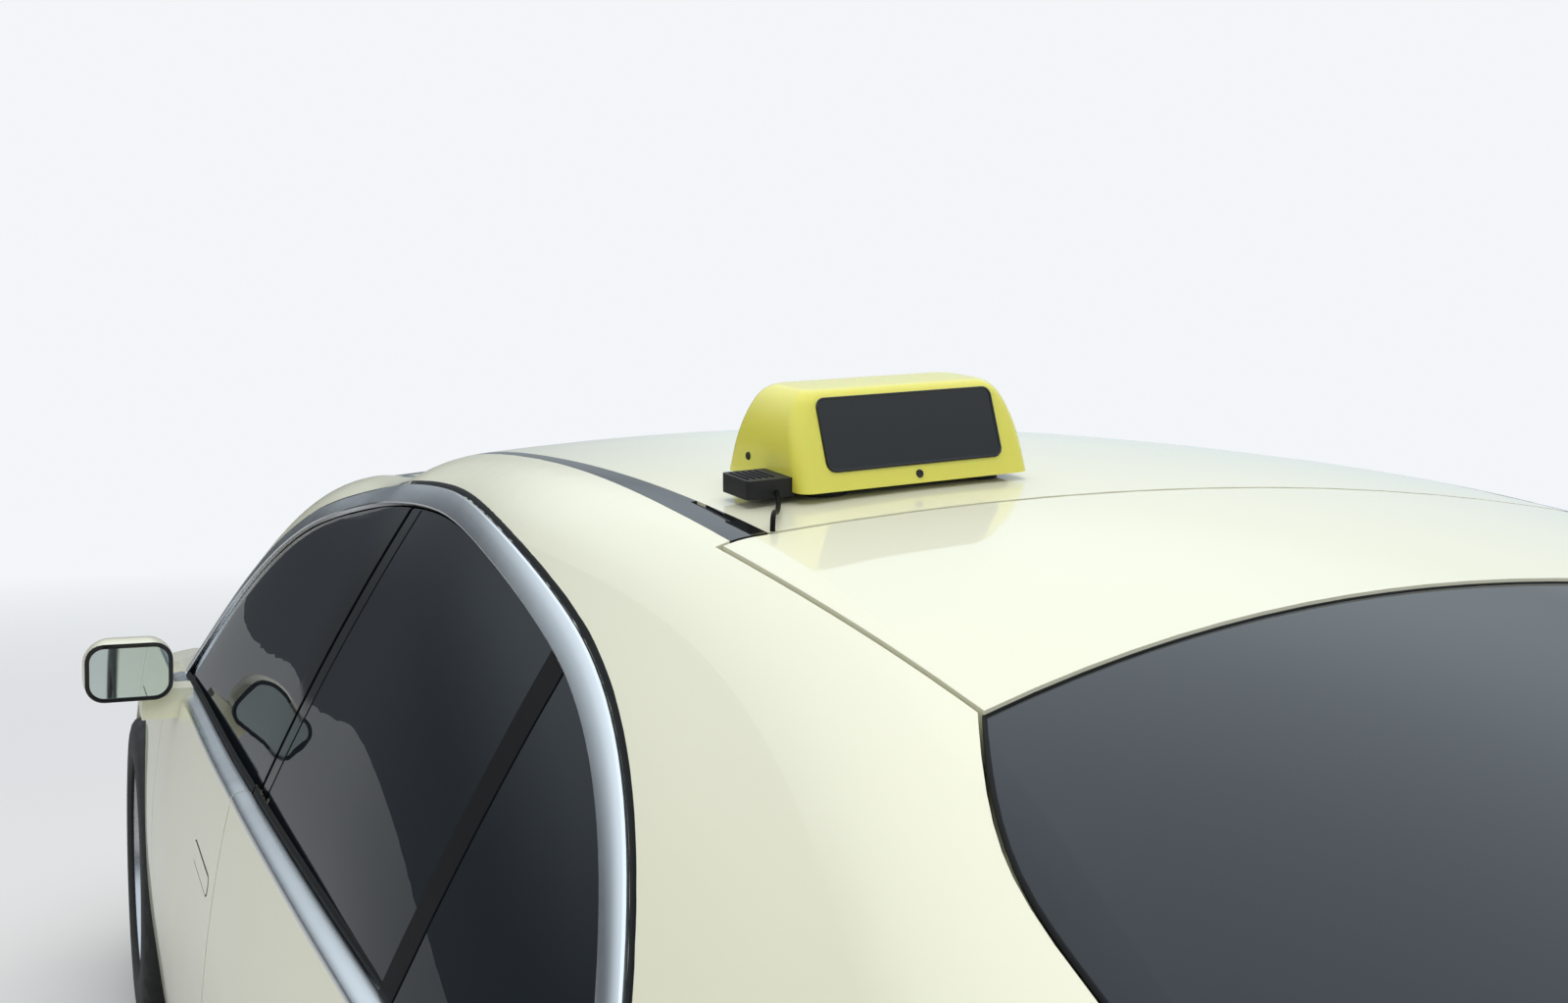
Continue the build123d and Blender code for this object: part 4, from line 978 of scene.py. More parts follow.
def add_sign():
    shell, base, ahead, sideways, up = add_housing()

    def on_shell(height, way, shift=Vector()):
        return touch(shell, base + up * height + shift + way * 0.3, -way)

    ring = rounded_ring(*PANEL_HALVES, PANEL_ROUND)
    rims, screws, panels = [], [], []
    for face in (1, -1):
        seat, out = on_shell(PANEL_MIDDLE, ahead * face)
        across = sideways * face
        rise = out.cross(across)
        middle = seat + out * PANEL_PROUD
        panel = face_of([middle + across * a + rise * b for a, b, _, _ in ring])
        bmesh.ops.recalc_face_normals(panel, faces=panel.faces)
        thicken(panel, 0.0022)
        high = max((v.co - middle).dot(out) for v in panel.verts)
        if high > 1e-5:
            bmesh.ops.translate(panel, vec=-out * high, verts=panel.verts)
        panels.append(panel)
        rims.append(swept(ring_frames(middle, across, rise, out, ring), RIM))
        screws.append(screw(*on_shell(SCREW_HIGH, ahead * face)))
    for hand in (LEFT, RIGHT):
        screws.append(screw(*on_shell(END_SCREW[0], sideways * hand, ahead * END_SCREW[1])))
    piece = piece_from("sign_faces", joined(panels), gloss_black, "body", crease=30)
    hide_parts("sign_panels")
    piece_from("sign_rims", joined(rims), gloss_black, "body", crease=60)
    piece_from("sign_screws", joined(screws), grained_black, "body")
    tray = surface("sign_base")
    turn = Matrix((ahead, sideways, up)).transposed()
    ribs = []
    for step in range(RIB_COUNT):
        spot = base + sideways * (FIRST_RIB[0] + RIB_STEP * step) + ahead * FIRST_RIB[1] + up * 0.1
        ribs.append(block(RIB_SIZE, touch(tray, spot, -up)[0] + up * 0.0004, 0.0007, 2, turn))
    piece_from("plug_ribs", joined(ribs), grained_black, "body", whole=False)
    print("sign with", len(screws), "screws and", len(ribs), "ribs on its plug")


add_sign()

# %% [markdown]
# The doors open by flush pull handles, bars of the body's colour. A thin black sheet a little larger than
# each bar lies under it and paints the shade round the handle's edge. The mirror glass lies in a dark bezel
# and faces the driver, a little outwards and down.

# %% Door handles and mirror glass
HANDLES = (("door_f", 0.135), ("door_r", -0.800))
HANDLE_HALF = 0.105
HANDLE_HIGH = 0.013
HANDLE_Z = 0.842
# how far the painted shade round a handle reaches past the bar
SHADE_MARGIN = 0.003


def capsule(middle, wider=0.0):
    """Maps a unit square to a bar with round ends."""
    half, high = HANDLE_HALF + wider, HANDLE_HIGH + wider

    def corner(u, v):
        a, b = 2 * u - 1, 2 * v - 1
        reach = half - high * (1 - (1 - min(abs(b), 1) ** 2) ** 0.5) * 0.9
        return middle + a * reach, HANDLE_Z + b * high
    return corner


def add_handles():
    for hand, _, mark in HANDS:
        for door, middle in HANDLES:
            body = door + mark
            tree = surface(body)
            # painted shade: a black sheet a little larger than the bar, laid on the door under it
            shade_sheet = laid(tree, hand, capsule(middle, SHADE_MARGIN), 24, 10, 0.0002, 0.0004)
            piece_from(f"handle_shade_sheet_{body}", shade_sheet, seal_rubber, body)
            bar = laid(tree, hand, capsule(middle), 24, 10, 0.0008, 0.0032)
            piece_from(f"handle_{body}", bar, paint, body)


MIRROR_MIDDLE = (0.7915, 1.006, 1.024)
MIRROR_RING, MIRROR_GLASS = (0.0715, 0.0505, 0.030), (0.068, 0.047, 0.027)
BEZEL = ((-0.0040, -0.0045), (0.0018, -0.0045), (0.0026, -0.0030), (0.0022, 0.0032), (-0.0040, 0.0036))


def add_mirrors():
    x, y, z = MIRROR_MIDDLE
    axes = (Vector((0, 1, 0)), Vector((0, 0, 1)), Vector((-1, 0, 0)))
    for hand, side, mark in HANDS:
        middle = Vector((x, hand * y, z))
        ring = ring_frames(middle, *axes, rounded_ring(*MIRROR_RING))
        piece_from(f"mirror_bezel_{side}", swept(ring, BEZEL), gloss_black, f"door_f{mark}", crease=60)
        glass = face_of([middle + Vector((-0.0006, a, b)) for a, b, _, _ in rounded_ring(*MIRROR_GLASS)])
        piece_from(f"mirror_glass_{side}", thicken(glass, 0.0006), mirror_face, f"door_f{mark}")


add_handles()
add_mirrors()
print("handles and mirrors on both sides")

# %% [markdown]
# A tyre is moulded in one go, tread and all. Its section is drawn once, with four grooves across the running
# face, and turned round the axle. The shoulder blocks are then cut by letting every fourth step
# of the turn sink a little.

# %% Tyres
AXLES = (("f", 1.743), ("r", -1.467))
WHEEL_Y, WHEEL_Z = 0.830, 0.370
TYRE_STEPS = 120
TYRE_SECTION = (
    (-0.120, 0.2625), (-0.1265, 0.2720), (-0.1272, 0.2900), (-0.1275, 0.3140), (-0.1262, 0.3350),
    (-0.1225, 0.3500), (-0.1150, 0.3610), (-0.1030, 0.3662), (-0.0900, 0.3680), (-0.0800, 0.3686),
    (-0.0795, 0.3610), (-0.0705, 0.3612), (-0.0700, 0.3690), (-0.0400, 0.3696), (-0.0395, 0.3615),
    (-0.0305, 0.3616), (-0.0300, 0.3698), (0.0, 0.3699),
)
SIPE = 0.005
BLOCKS_FROM, BLOCKS_OUT = 0.079, 0.355      # across from the middle, and out from the axle
WHEELS = [(axle + mark, x, hand, f"knuckle_{side}" if axle == "f" else "body")
          for axle, x in AXLES for hand, side, mark in HANDS]


def add_tyres():
    section = TYRE_SECTION + tuple((-y, radius) for y, radius in reversed(TYRE_SECTION[:-1]))
    for wheel, x, hand, _ in WHEELS:
        ring = line_of([(0, y, radius) for y, radius in section], closed=True)
        shape = spun(ring, TYRE_STEPS, (0, 1, 0))
        for vert in shape.verts:
            turn = round(atan2(vert.co.x, vert.co.z) / (2 * pi / TYRE_STEPS)) % TYRE_STEPS
            reach = hypot(vert.co.x, vert.co.z)
            if turn % 4 == 0 and abs(vert.co.y) > BLOCKS_FROM and reach > BLOCKS_OUT:
                vert.co.x *= 1 - SIPE / reach
                vert.co.z *= 1 - SIPE / reach
        bmesh.ops.translate(shape, vec=(x, hand * WHEEL_Y, WHEEL_Z), verts=shape.verts)
        piece = piece_from(f"tyre_{wheel}_tread", shape, rubber, f"wheel_{wheel}", crease=28)
        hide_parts(f"tyre_{wheel}")


add_tyres()
print("tyres with", TYRE_STEPS // 4, "shoulder blocks to a side")

# %% [markdown]
# Each wheel is held by five bolts round a plain cap. Behind the spokes a caliper grips the brake disc.
# It doesn't turn with the wheel: in front it steers with the knuckle, at the rear it stands on the body.

# %% Wheel bolts, caps and calipers
BOLT_CIRCLE, BOLT_COUNT = 0.056, 5
BOLT_Y, CAP_Y = 0.9255, 0.9200
CAP_LINE = ((0, 0.006), (0.020, 0.0055), (0.029, 0.0035), (0.033, 0.0), (0.033, -0.006))
CALIPER = ((0.112, 0.782), (0.171, 0.782), (0.171, 0.746), (0.190, 0.746), (0.190, 0.806),
           (0.184, 0.812), (0.116, 0.812), (0.112, 0.808))
CALIPER_FROM, CALIPER_ARC = radians(150), radians(52)


def add_wheel_parts():
    for wheel, x, hand, holder in WHEELS:
        body = f"wheel_{wheel}"
        outward = Matrix.Rotation(-hand * pi / 2, 4, "X")
        bolts = []
        for step in range(BOLT_COUNT):
            angle = 2 * pi * step / BOLT_COUNT
            bolt = joined([cone(0.0085, 0.0082, 0.010, 6), cone(0.0125, 0.0100, 0.004, 20, (0, 0, -0.004))])
            place = (x + BOLT_CIRCLE * cos(angle), hand * BOLT_Y, WHEEL_Z + BOLT_CIRCLE * sin(angle))
            bolts.append(placed(bolt, Matrix.Translation(place) @ outward))
        piece_from(f"wheel_bolts_{wheel}", joined(bolts), disc_steel, body, crease=30, whole=False)
        cap = placed(lathed(CAP_LINE, 48), Matrix.Translation((x, hand * CAP_Y, WHEEL_Z)) @ outward)
        close_holes(cap)
        piece_from(f"wheel_cap_{wheel}", cap, alloy, body, crease=50)
        grip = placed(face_of([(radius, hand * y, 0) for radius, y in CALIPER]),
                      Matrix.Translation((x, 0, WHEEL_Z)) @ Matrix.Rotation(-CALIPER_FROM, 4, "Y"))
        bmesh.ops.spin(grip, geom=grip.verts[:] + grip.edges[:] + grip.faces[:], cent=(x, 0, WHEEL_Z),
                       axis=(0, 1, 0), angle=-CALIPER_ARC, steps=14)
        piece_from(f"brake_caliper_{wheel}", grip, motor_alloy, holder, crease=35)


add_wheel_parts()
print("bolts, caps and calipers on four wheels")

# %% [markdown]
# Front and rear trim is laid on the panels that carry it. A grille has a bright frame and dark bars, the
# low intake has slats, and blank white plates stand in front of a dark holder.

# %% Front and rear trim
FRAME_PROFILE = ((-0.003, -0.008), (0.003, -0.007), (0.005, -0.002), (0.0045, 0.004), (0.002, 0.0075),
                 (-0.003, 0.008))
BAR_PROFILE = ((-0.002, -0.0065), (0.005, -0.0055), (0.0075, 0.0), (0.005, 0.0055), (-0.002, 0.0065))
GRILLE_BARS, GRILLE_HALF = (0.533, 0.566, 0.599, 0.632, 0.665, 0.698), 0.385
GRILLE_RING, GRILLE_Z = (0.402, 0.114, 0.045, 10), 0.612
INTAKE_SLATS, INTAKE_HALF = (0.262, 0.296, 0.330), 0.515
ENDS = ((1, "front", 0.4210), (-1, "rear", 0.5550))      # direction, name and height of the plate
PLATE_HALF, PLATE_HIGH = 0.260, 0.055
FIN_SIZE, FIN_PLACES, FIN_Z = (0.030, 0.006, 0.110), (-0.42, -0.21, 0.0, 0.21, 0.42), 0.225
SENSOR_PLACES, SENSOR_Z = (-0.72, -0.38, 0.38, 0.72), 0.455


def along_x(tree, end, y, z):
    """Where a ray from ahead (end 1) or behind (end -1) meets the car. Past an edge it moves inwards."""
    inwards = -1 if y > 0 else 1
    for shift in (0, 0.004, -0.004, 0.009, -0.009, 0.015, -0.015, 0.022, -0.022):
        place, normal = touch(tree, (end * 4, y + inwards * shift, z), (-end, 0, 0))
        if place is not None:
            return Vector((place.x, y, z)), normal
    return None, None


def spread(half, steps=40):
    return [half * (2 * step / steps - 1) for step in range(steps + 1)]


def bar_frames(tree, end, z, ys):
    """Frames for a level bar on the front or the rear, at some places across it."""
    frames = []
    for y in ys:
        place, normal = along_x(tree, end, y, z)
        if place is not None:
            frames.append((place, Vector((normal.x, normal.y, 0)).normalized(), Vector((0, 0, 1))))
    return frames


def add_bars(name, node, heights, half):
    tree = surface(node)
    bars = [swept(bar_frames(tree, 1, z, spread(half)), BAR_PROFILE) for z in heights]
    piece_from(name, joined(bars), gloss_black, "body", crease=50)


def add_grille_frame():
    tree = surface("front_grille")
    frames = []
    for a, b, c, d in rounded_ring(*GRILLE_RING):
        place, normal = along_x(tree, 1, a, GRILLE_Z + b)
        if place is not None:
            up = Vector((0, c, d)) - normal * normal.dot(Vector((0, c, d)))
            frames.append((place, normal, up.normalized()))
    frames.append(frames[0])
    piece_from("grille_frame", swept(frames, FRAME_PROFILE), chrome, "body", crease=50)


def add_plates():
    for end, label, z in ENDS:
        tree = surface(f"{label}_bumper")
        reach = max(end * along_x(tree, end, y, z + rise)[0].x
                    for y in (0, 0.12, -0.12) for rise in (-0.05, 0, 0.05))
        back = min(end * along_x(tree, end, y, z)[0].x for y in (0.255, -0.255))
        size = (reach - back + 0.006, 2 * PLATE_HALF + 0.012, 2 * PLATE_HIGH + 0.010)
        holder = block(size, (end * (reach + back) / 2 + end * 0.002, 0, z), 0.002)
        piece_from(f"plate_holder_{label}", holder, grained_black, "body")
        plate = block((0.0015, 2 * PLATE_HALF, 2 * PLATE_HIGH), (end * (reach + 0.0060), 0, z), 0.0006)
        piece_from(f"plate_{label}", plate, plate_white, "body")


def add_fins_and_sensors():
    tree = surface("rear_diffuser")
    spots = [along_x(tree, -1, y, FIN_Z)[0] - Vector((0.004, 0, 0)) for y in FIN_PLACES]
    fins = [block(FIN_SIZE, spot, 0.002) for spot in spots]
    piece_from("diffuser_fins", joined(fins), grained_black, "body", whole=False)
    sensors = []
    for end, label, _ in ENDS:
        tree = surface(f"{label}_bumper")
        for y in SENSOR_PLACES:
            place, out = along_x(tree, end, y, SENSOR_Z)
            sensors.append(placed(cone(0.0105, 0.0095, 0.0022, 28), facing(place + out * 0.0006, out)))
    piece_from("park_sensors", joined(sensors), grained_black, "body", whole=False)


add_bars("grille_bars", "front_grille", GRILLE_BARS, GRILLE_HALF)
add_grille_frame()
add_bars("intake_slats", "lower_intake", INTAKE_SLATS, INTAKE_HALF)
add_plates()
add_fins_and_sensors()
print("front and rear trimmed")

# %% [markdown]
# A headlamp is a deep clear shell over a dark housing. Inside it stand two projector lenses in bright
# rings and a bright line along the top that is the daytime light. The tail lamps carry a lighter strip.

# %% Lamp interiors
LAMP_START, LAMP_WIDE = (2.62, 0.36), 0.62      # the inner end of a headlamp, and how far it is followed
CORE = (0.6500, 0.7360, 12, 0.028, 0.002)       # low and high edge, rows, how deep and how thick
LINE = (0.7190, 0.7260, 2, 0.009, 0.003)
PROJECTORS, PROJECTOR_Z, PROJECTOR_DEEP = ((2.4150, 0.7250), (2.4700, 0.6000)), 0.6850, 0.012
RING_LINE = ((0.030, -0.012), (0.030, 0.0), (0.028, 0.002), (0.026, 0.0), (0.022, -0.010))
DOME_LINE = ((0, 0.003), (0.008, 0.0020), (0.016, -0.003), (0.022, -0.011))
TAIL_PROFILE = ((0.0001, -0.006), (0.0012, -0.005), (0.0012, 0.005), (0.0001, 0.006))
TAIL_Z, GATE_HALF, TAIL_FROM, TAIL_LONG = 0.935, 0.690, 0.745, 0.100


def lamp_way(hand):
    """The direction of a look from outside into a headlamp."""
    return Vector((-0.80, -0.60 * hand, 0)).normalized()


def lamp_sheet(tree, hand, low, high, rows, deep, thick):
    """A sheet below the surface of a lamp's glass. Points that miss the lamp are left out."""
    way = lamp_way(hand)
    across = Vector((-0.60, 0.80 * hand, 0)) * LAMP_WIDE
    start = Vector((LAMP_START[0], hand * LAMP_START[1], 0)) - way * 0.8
    shape = grid(60, rows)
    missed = []
    for vert in shape.verts:
        z = low + (high - low) * (vert.co.y + 0.5)
        place, _ = touch(tree, start + across * (vert.co.x + 0.5) + Vector((0, 0, z)), way)
        if place is None:
            missed.append(vert)
        else:
            vert.co = place + way * deep
    bmesh.ops.delete(shape, geom=missed, context="VERTS")
    bmesh.ops.recalc_face_normals(shape, faces=shape.faces)
    return thicken(shape, thick)


def add_headlamps():
    tree = surface("headlamps")
    for hand, side, _ in HANDS:
        piece_from(f"headlamp_core_{side}", lamp_sheet(tree, hand, *CORE), gloss_black, "body")
        piece_from(f"headlamp_line_{side}", lamp_sheet(tree, hand, *LINE), lamp_white, "body")
        way = lamp_way(hand)
        rings, domes = [], []
        for x, y in PROJECTORS:
            place, _ = touch(tree, Vector((x, hand * y, PROJECTOR_Z)) - way * 0.6, way)
            seat = facing(place + way * PROJECTOR_DEEP, -way)
            rings.append(placed(lathed(RING_LINE, 40), seat))
            domes.append(placed(lathed(DOME_LINE, 40), seat))
        piece_from(f"headlamp_rings_{side}", joined(rings), chrome, "body")
        piece_from(f"headlamp_lenses_{side}", joined(domes), lamp_white, "body")


def add_tail_lines():
    """A lighter strip across the rear, in three lengths, since the middle one lifts with the tailgate."""
    middle = bar_frames(surface("tailgate_lamp"), -1, TAIL_Z, spread(GATE_HALF))
    piece_from("tail_line_middle", swept(middle, TAIL_PROFILE), tail_bright, "tailgate")
    tree = surface("tail_lamps")
    for hand, side, _ in HANDS:
        ys = [hand * (TAIL_FROM + TAIL_LONG * step / 16) for step in range(17)]
        strip = swept(bar_frames(tree, -1, TAIL_Z, ys), TAIL_PROFILE)
        piece_from(f"tail_line_{side}", strip, tail_bright, "body")


add_headlamps()
add_tail_lines()
print("lamps fitted")

# %% [markdown]
# Two wipers rest low on the windscreen, each a flat arm and a rubber blade under a dark spine.

# %% Wipers
WIPERS = (((1.236, 0.560), (1.080, 0.020)), ((1.236, -0.040), (1.090, -0.560)))
BLADE = ((0.0002, -0.003), (0.0060, -0.0045), (0.0105, 0.0), (0.0060, 0.0045), (0.0002, 0.003))
ARM = ((0.0105, -0.0060), (0.0150, -0.0050), (0.0160, 0.0), (0.0150, 0.0050), (0.0105, 0.0060))
ARM_SHARE = 0.55


def screen_frames(tree, start, end, steps):
    """Frames along a straight line on the windscreen."""
    rows = []
    for step in range(steps + 1):
        x, y = (a + (b - a) * step / steps for a, b in zip(start, end))
        place, normal = touch(tree, (x, y, 1.8), DOWN)
        if place is not None:
            rows.append((place, normal))
    frames = []
    for index, (place, normal) in enumerate(rows):
        before, after = neighbours(rows, index)
        frames.append((place, normal, normal.cross(after[0] - before[0]).normalized()))
    return frames


def add_wipers():
    tree = surface("windscreen")
    blades, arms = [], []
    for start, end in WIPERS:
        blades.append(swept(screen_frames(tree, start, end, 24), BLADE))
        inner = tuple(a + (b - a) * ARM_SHARE for a, b in zip(start, end))
        arms.append(swept(screen_frames(tree, start, inner, 12), ARM))
    piece_from("wiper_blades", joined(blades), seal_rubber, "body", crease=50)
    piece_from("wiper_arms", joined(arms), grained_black, "body", crease=50)


add_wipers()
print("wipers on the windscreen")

# %% [markdown]
# The seats are foam pads under leather. Each pad is cut as a side outline and extruded across the car.
# Its edges are rounded, its skin is divided, and every point moves out by how far it lies from the
# seams at its two ends, so the pad swells towards its middle.

# %% Seats
SEAT_Y = 0.380
BENCH_HALF, REST_HALF = 0.598, 0.128
SEAT_CUSHION = ((0.152, 0.314), (0.558, 0.314), (0.577, 0.498), (0.500, 0.497), (0.350, 0.484),
                (0.200, 0.474), (0.062, 0.518), (0.080, 0.314))
SEAT_BACK = ((0.064, 0.502), (0.176, 0.474), (0.100, 0.740), (0.020, 1.008), (-0.058, 1.003), (-0.058, 0.980))
SEAT_REST = ((-0.053, 1.012), (0.013, 1.012), (-0.011, 1.148), (-0.088, 1.143))
BENCH_CUSHION = ((-0.522, 0.314), (-0.502, 0.498), (-0.700, 0.484), (-0.896, 0.472),
                 (-1.008, 0.516), (-1.098, 0.314))
BENCH_BACK = ((-0.904, 0.474), (-1.018, 0.404), (-1.178, 0.958), (-1.122, 0.983), (-1.010, 0.730))
BENCH_REST = ((-1.122, 0.992), (-1.173, 0.975), (-1.213, 1.088), (-1.152, 1.098))
SEAT_PADS = (("cushion", SEAT_CUSHION, 0.253, 0.006), ("back", SEAT_BACK, 0.231, 0.005),
             ("rest", SEAT_REST, REST_HALF, 0.004))
BENCH_PADS = (("cushion", BENCH_CUSHION, 0.006), ("back", BENCH_BACK, 0.004))


def pad(outline, middle, half, puff, soft):
    """A puffed pad from its side outline, with rounded seams."""
    shape = face_of([(x, middle - half, z) for x, z in outline])
    grown = bmesh.ops.extrude_face_region(shape, geom=shape.faces[:])
    far = [part for part in grown["geom"] if isinstance(part, bmesh.types.BMVert)]
    bmesh.ops.translate(shape, vec=(0, 2 * half, 0), verts=far)
    bmesh.ops.recalc_face_normals(shape, faces=shape.faces)
    bmesh.ops.bevel(shape, geom=shape.edges[:], offset=soft, segments=3, profile=0.5, affect="EDGES",
                    material=-1, clamp_overlap=True)
    across = [e for e in shape.edges if abs(e.verts[0].co.y - e.verts[1].co.y) > half]
    bmesh.ops.subdivide_edges(shape, edges=across, cuts=23, use_grid_fill=True)
    shape.normal_update()
    for vert in shape.verts:
        swell = puff * max(1 - ((vert.co.y - middle) / half) ** 2, 0.0)
        vert.co += Vector((vert.normal.x, 0, vert.normal.z)) * swell
    return shape


def add_pad(name, *form):
    piece = piece_from(name, pad(*form), leather, "body", crease=60)
    return piece


def add_seats():
    front, rear = [], []
    for hand, side, _ in HANDS:
        y = hand * SEAT_Y
        for name, outline, half, puff in SEAT_PADS:
            front.append(add_pad(f"seat_{name}_{side}", outline, y, half, puff, 0.018))
        posts = [block((0.012, 0.012, 0.060), (-0.022, y + shift, 1.008), 0.003) for shift in (0.055, -0.055)]
        piece_from(f"seat_posts_{side}", joined(posts), chrome, "body", whole=False)
        rear.append(add_pad(f"bench_rest_{side}", BENCH_REST, y, REST_HALF, 0.003, 0.012))
    for name, outline, puff in BENCH_PADS:
        rear.append(add_pad(f"bench_{name}", outline, 0, BENCH_HALF, puff, 0.016))
    for piece in front:
        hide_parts("front_seats")
    for piece in rear:
        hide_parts("rear_bench")


add_seats()
print("seats and bench padded")

# %% [markdown]
# In front of the driver stands a wide dark screen on the dashboard, with air vents in bright slats below.
# The middle console has a small rotary knob.

# %% Dashboard
SCREEN_PLACE = (0.968, 0.120, 0.945)
SCREEN_SIZE = (0.010, 0.620, 0.095)
SCREEN_LEAN = radians(-14)
VENTS, VENT_Z, VENT_STEP = (-0.66, -0.30, 0.04, 0.66), 0.815, 0.014
KNOB_X, KNOB_RAISED = 0.760, 0.008


def add_dashboard():
    screen = block(SCREEN_SIZE, SCREEN_PLACE, 0.003, 3, Matrix.Rotation(SCREEN_LEAN, 3, "Y"))
    piece_from("dash_screen", screen, gloss_black, "body")
    tree = surface("dashboard")
    slats = []
    for y in VENTS:
        for step in range(4):
            place, _ = along_x(tree, -1, y, VENT_Z + VENT_STEP * step)
            if place is not None:
                slats.append(block((0.006, 0.110, 0.004), place, 0.0012))
    piece_from("dash_vents", joined(slats), chrome, "body", whole=False)
    seen, _ = touch(tree, (KNOB_X, 0.0, 1.2), DOWN)
    knob = placed(cone(0.024, 0.021, 0.018, 32), Matrix.Translation(seen - DOWN * KNOB_RAISED))
    piece_from("console_knob", knob, alloy, "body")


add_dashboard()
print("screen, vents and knob on the dashboard")

# %% [markdown]
# An armrest and a pull above it stand on the inner skin of each door and swing
# with it.

# %% Door armrests
LININGS = (("door_f", 0.10, 0.90), ("door_r", -0.78, -0.16))
ARM_Z, ARM_HIGH, ARM_DEEP = 0.700, 0.055, 0.038
PULL_SHARE, PULL_AHEAD, PULL_ABOVE = 0.35, 0.12, 0.125


def add_linings():
    for hand, _, mark in HANDS:
        for door, rear, front in LININGS:
            body, middle, wide = door + mark, (rear + front) / 2, front - rear
            place, _ = touch(surface(body), (middle, 0, ARM_Z), (0, hand, 0))
            spot = (middle, place.y - hand * ARM_DEEP * 0.45, ARM_Z)
            arm = block((wide, ARM_DEEP, ARM_HIGH), spot, 0.012, 3)
            spot = (middle + PULL_AHEAD, place.y - hand * ARM_DEEP * 0.35, ARM_Z + PULL_ABOVE)
            pull = block((wide * PULL_SHARE, ARM_DEEP * 0.5, 0.020), spot, 0.006, 3)
            piece_from(f"door_arm_{body}", joined([arm, pull]), grained_black, body, whole=False)


add_linings()

# %% [markdown]
# The studio is a pale floor and a few large soft lamps. A glossy body shows its form by what it
# reflects, so the lamps are big and far away. The camera sees the world nearly white. Mirrors and paint
# see a sky that darkens towards the horizon, as outdoors, and its light on the car stays low.

# %% Studio
BACKDROP = (0.9, 0.92, 0.95, 1)
FLOOR_COLOUR, FLOOR_HALF = (0.72, 0.72, 0.71), 60
FLOOR_FADE = (2.5, 11.0)        # how far out the floor starts to turn into the backdrop, and has done so
GROUND_COLOUR = (0.02, 0.02, 0.02, 1)
GROUND_SHADE = 0.30             # how much darker the floor is in mirrors and paint, like asphalt outdoors
WORLD_LIGHT = 0.55
SKY_RISE = (0.06, 0.55)         # height of a mirrored ray where the sky starts and where it is full
SKY_LIGHT = (0.10, 1.15)
SKY_SIDE = (0.05, 0.40, 0.8)    # how far right a mirrored ray looks where the open side starts and is full
SKY_COLOUR = (0.82, 0.92, 1.0, 1)
LAMPS = (
    ("sky_box", (0, 0, 6.5), (0, 0, 0), (9, 6), 340), ("left_box", (-1, 8, 3.5), (0, 0, 0.8), (8, 3), 120),
    ("rear_box", (-9, -2, 4), (0, 0, 0.8), (5, 3), 90), ("right_box", (2, -8, 3.5), (0, 0, 0.8), (8, 3), 100),
)


def maths(tree, operation, *sources):
    """A maths node fed by sockets or plain numbers."""
    node = tree.nodes.new("ShaderNodeMath")
    node.operation = operation
    for socket, source in zip(node.inputs, sources):
        if isinstance(source, (int, float)):
            socket.default_value = source
        else:
            tree.links.new(source, socket)
    return node.outputs[0]


def ray(tree, kind):
    return add_node(tree, "LightPath").outputs[f"Is {kind} Ray"]


def seen_directly(tree):
    """1 for rays from the camera and through glass, 0 for the light that falls on things."""
    return maths(tree, "MAXIMUM", ray(tree, "Camera"), ray(tree, "Transmission"))


def mixed(tree, share, first, second):
    """One shader over another. share says how much of the second is seen."""
    mix = add_node(tree, "MixShader")
    for source, socket in zip((share, first, second), mix.inputs):
        tree.links.new(source, socket)
    return mix.outputs[0]


def ranged(tree, source, **values):
    node = add_node(tree, "MapRange", **values)
    tree.links.new(source, node.inputs["Value"])
    return node


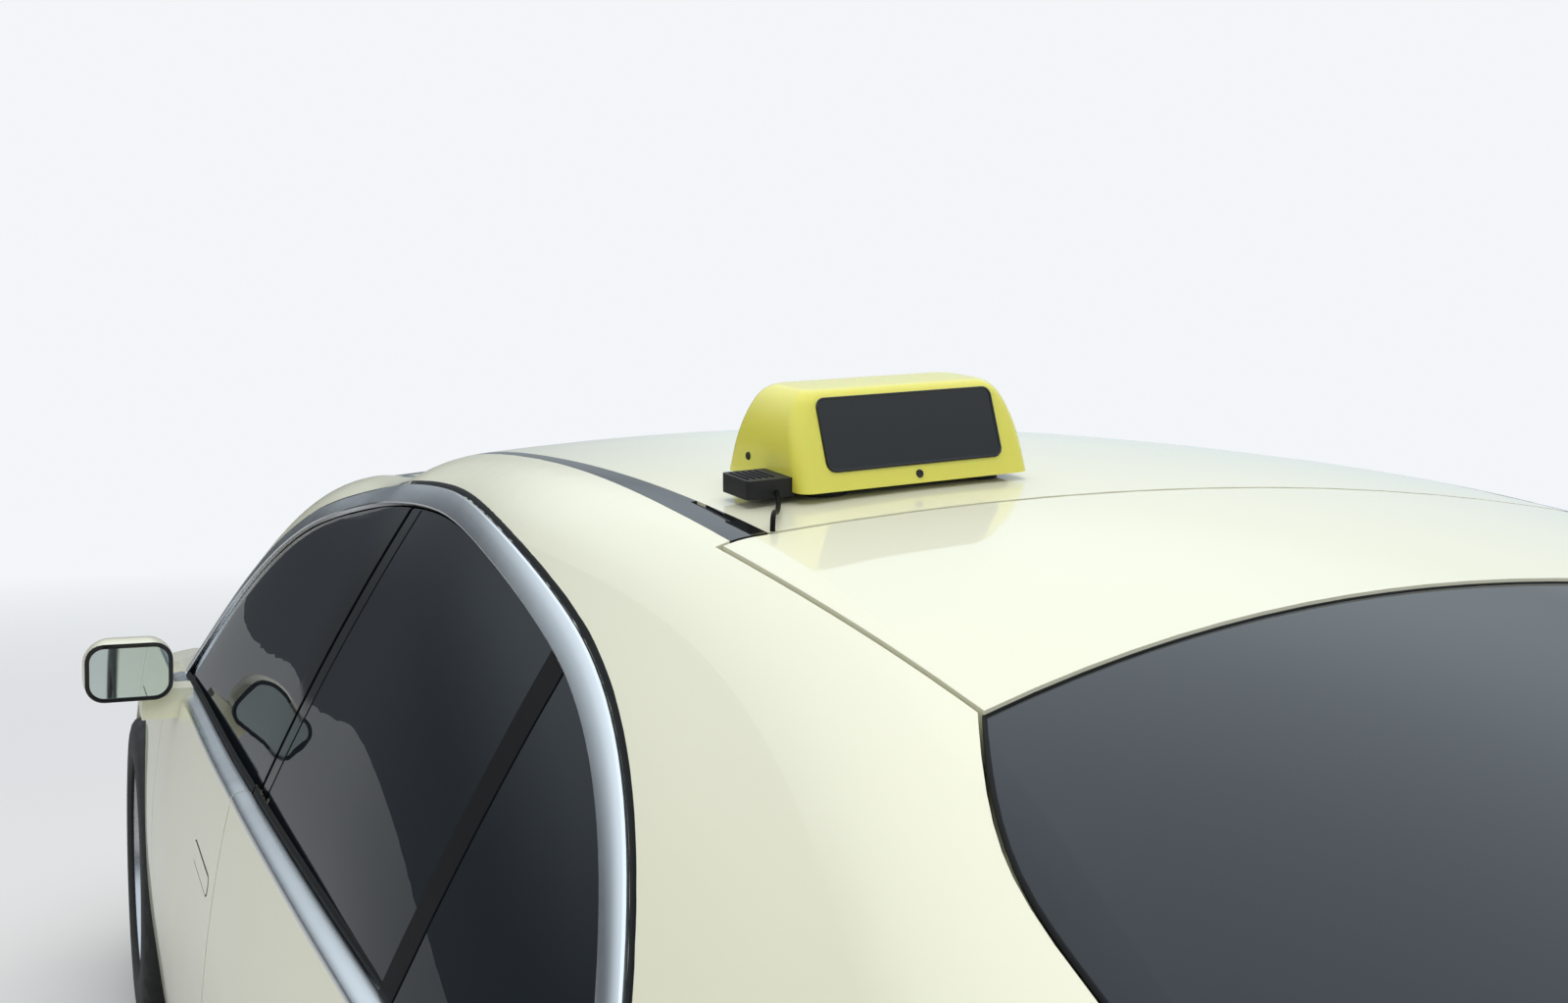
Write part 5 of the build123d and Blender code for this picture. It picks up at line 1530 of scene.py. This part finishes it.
def add_floor():
    shape = bmesh.new()
    bmesh.ops.create_grid(shape, x_segments=1, y_segments=1, size=FLOOR_HALF)
    mesh = bpy.data.meshes.new("floor")
    shape.to_mesh(mesh)
    shape.free()
    floor = add_object("floor", mesh)
    material = new_finish("floor_finish", "carpet", FLOOR_COLOUR, (2, 0.5, 0.6))
    tree = material.node_tree
    length = tree.nodes.new("ShaderNodeVectorMath")
    length.operation = "LENGTH"
    tree.links.new(add_node(tree, "TexCoord").outputs["Object"], length.inputs[0])
    fade = ranged(tree, length.outputs["Value"], From_Min=FLOOR_FADE[0], From_Max=FLOOR_FADE[1])
    share = maths(tree, "MULTIPLY", fade.outputs["Result"], seen_directly(tree))
    dark = add_node(tree, "BsdfDiffuse", Color=GROUND_COLOUR).outputs[0]
    shade = maths(tree, "MULTIPLY", ray(tree, "Glossy"), GROUND_SHADE)
    ground = mixed(tree, shade, tree.nodes["Principled BSDF"].outputs[0], dark)
    whole = mixed(tree, share, ground, add_node(tree, "Emission", Color=BACKDROP).outputs[0])
    tree.links.new(whole, tree.nodes["Material Output"].inputs["Surface"])
    mesh.materials.append(material)


def add_lamp(name, place, aim, size, power):
    data = bpy.data.lights.new(name, "AREA")
    data.shape = "RECTANGLE"
    data.size, data.size_y = size
    data.energy = power
    lamp = add_object(name, data)
    lamp.location = place
    lamp.rotation_euler = (Vector(aim) - Vector(place)).to_track_quat("-Z", "Y").to_euler()
    lamp.visible_glossy = False


def set_world():
    world = bpy.data.worlds.new("studio")
    bpy.context.scene.world = world
    world.use_nodes = True
    tree = world.node_tree
    background = tree.nodes["Background"]
    seen, mirrored = seen_directly(tree), ray(tree, "Glossy")
    colour = tree.nodes.new("ShaderNodeMix")
    colour.data_type = "RGBA"
    set_inputs(colour, {"A": BACKDROP, "B": SKY_COLOUR})
    tree.links.new(mirrored, colour.inputs["Factor"])
    tree.links.new(colour.outputs["Result"], background.inputs["Color"])
    sight = add_node(tree, "SeparateXYZ")
    tree.links.new(add_node(tree, "NewGeometry").outputs["Incoming"], sight.inputs[0])
    limits = dict(zip(("From_Min", "From_Max", "To_Min", "To_Max"), (*SKY_RISE, *SKY_LIGHT)))
    sky = ranged(tree, maths(tree, "MULTIPLY", sight.outputs["Z"], -1), **limits)
    sky.interpolation_type = "SMOOTHSTEP"
    side = ranged(tree, sight.outputs["Y"], From_Min=SKY_SIDE[0], From_Max=SKY_SIDE[1], To_Max=SKY_SIDE[2])
    bright = maths(tree, "MAXIMUM", sky.outputs["Result"], side.outputs["Result"])
    shown = maths(tree, "MAXIMUM", seen, mirrored)
    dim = maths(tree, "MULTIPLY", maths(tree, "SUBTRACT", 1, shown), WORLD_LIGHT)
    glint = maths(tree, "MULTIPLY", maths(tree, "SUBTRACT", shown, seen), bright)
    tree.links.new(maths(tree, "ADD", maths(tree, "ADD", seen, glint), dim), background.inputs["Strength"])


add_floor()
for lamp in LAMPS:
    add_lamp(*lamp)
set_world()
bpy.context.scene.view_settings.view_transform = "Standard"
print("studio set with", len(LAMPS), "lamps")
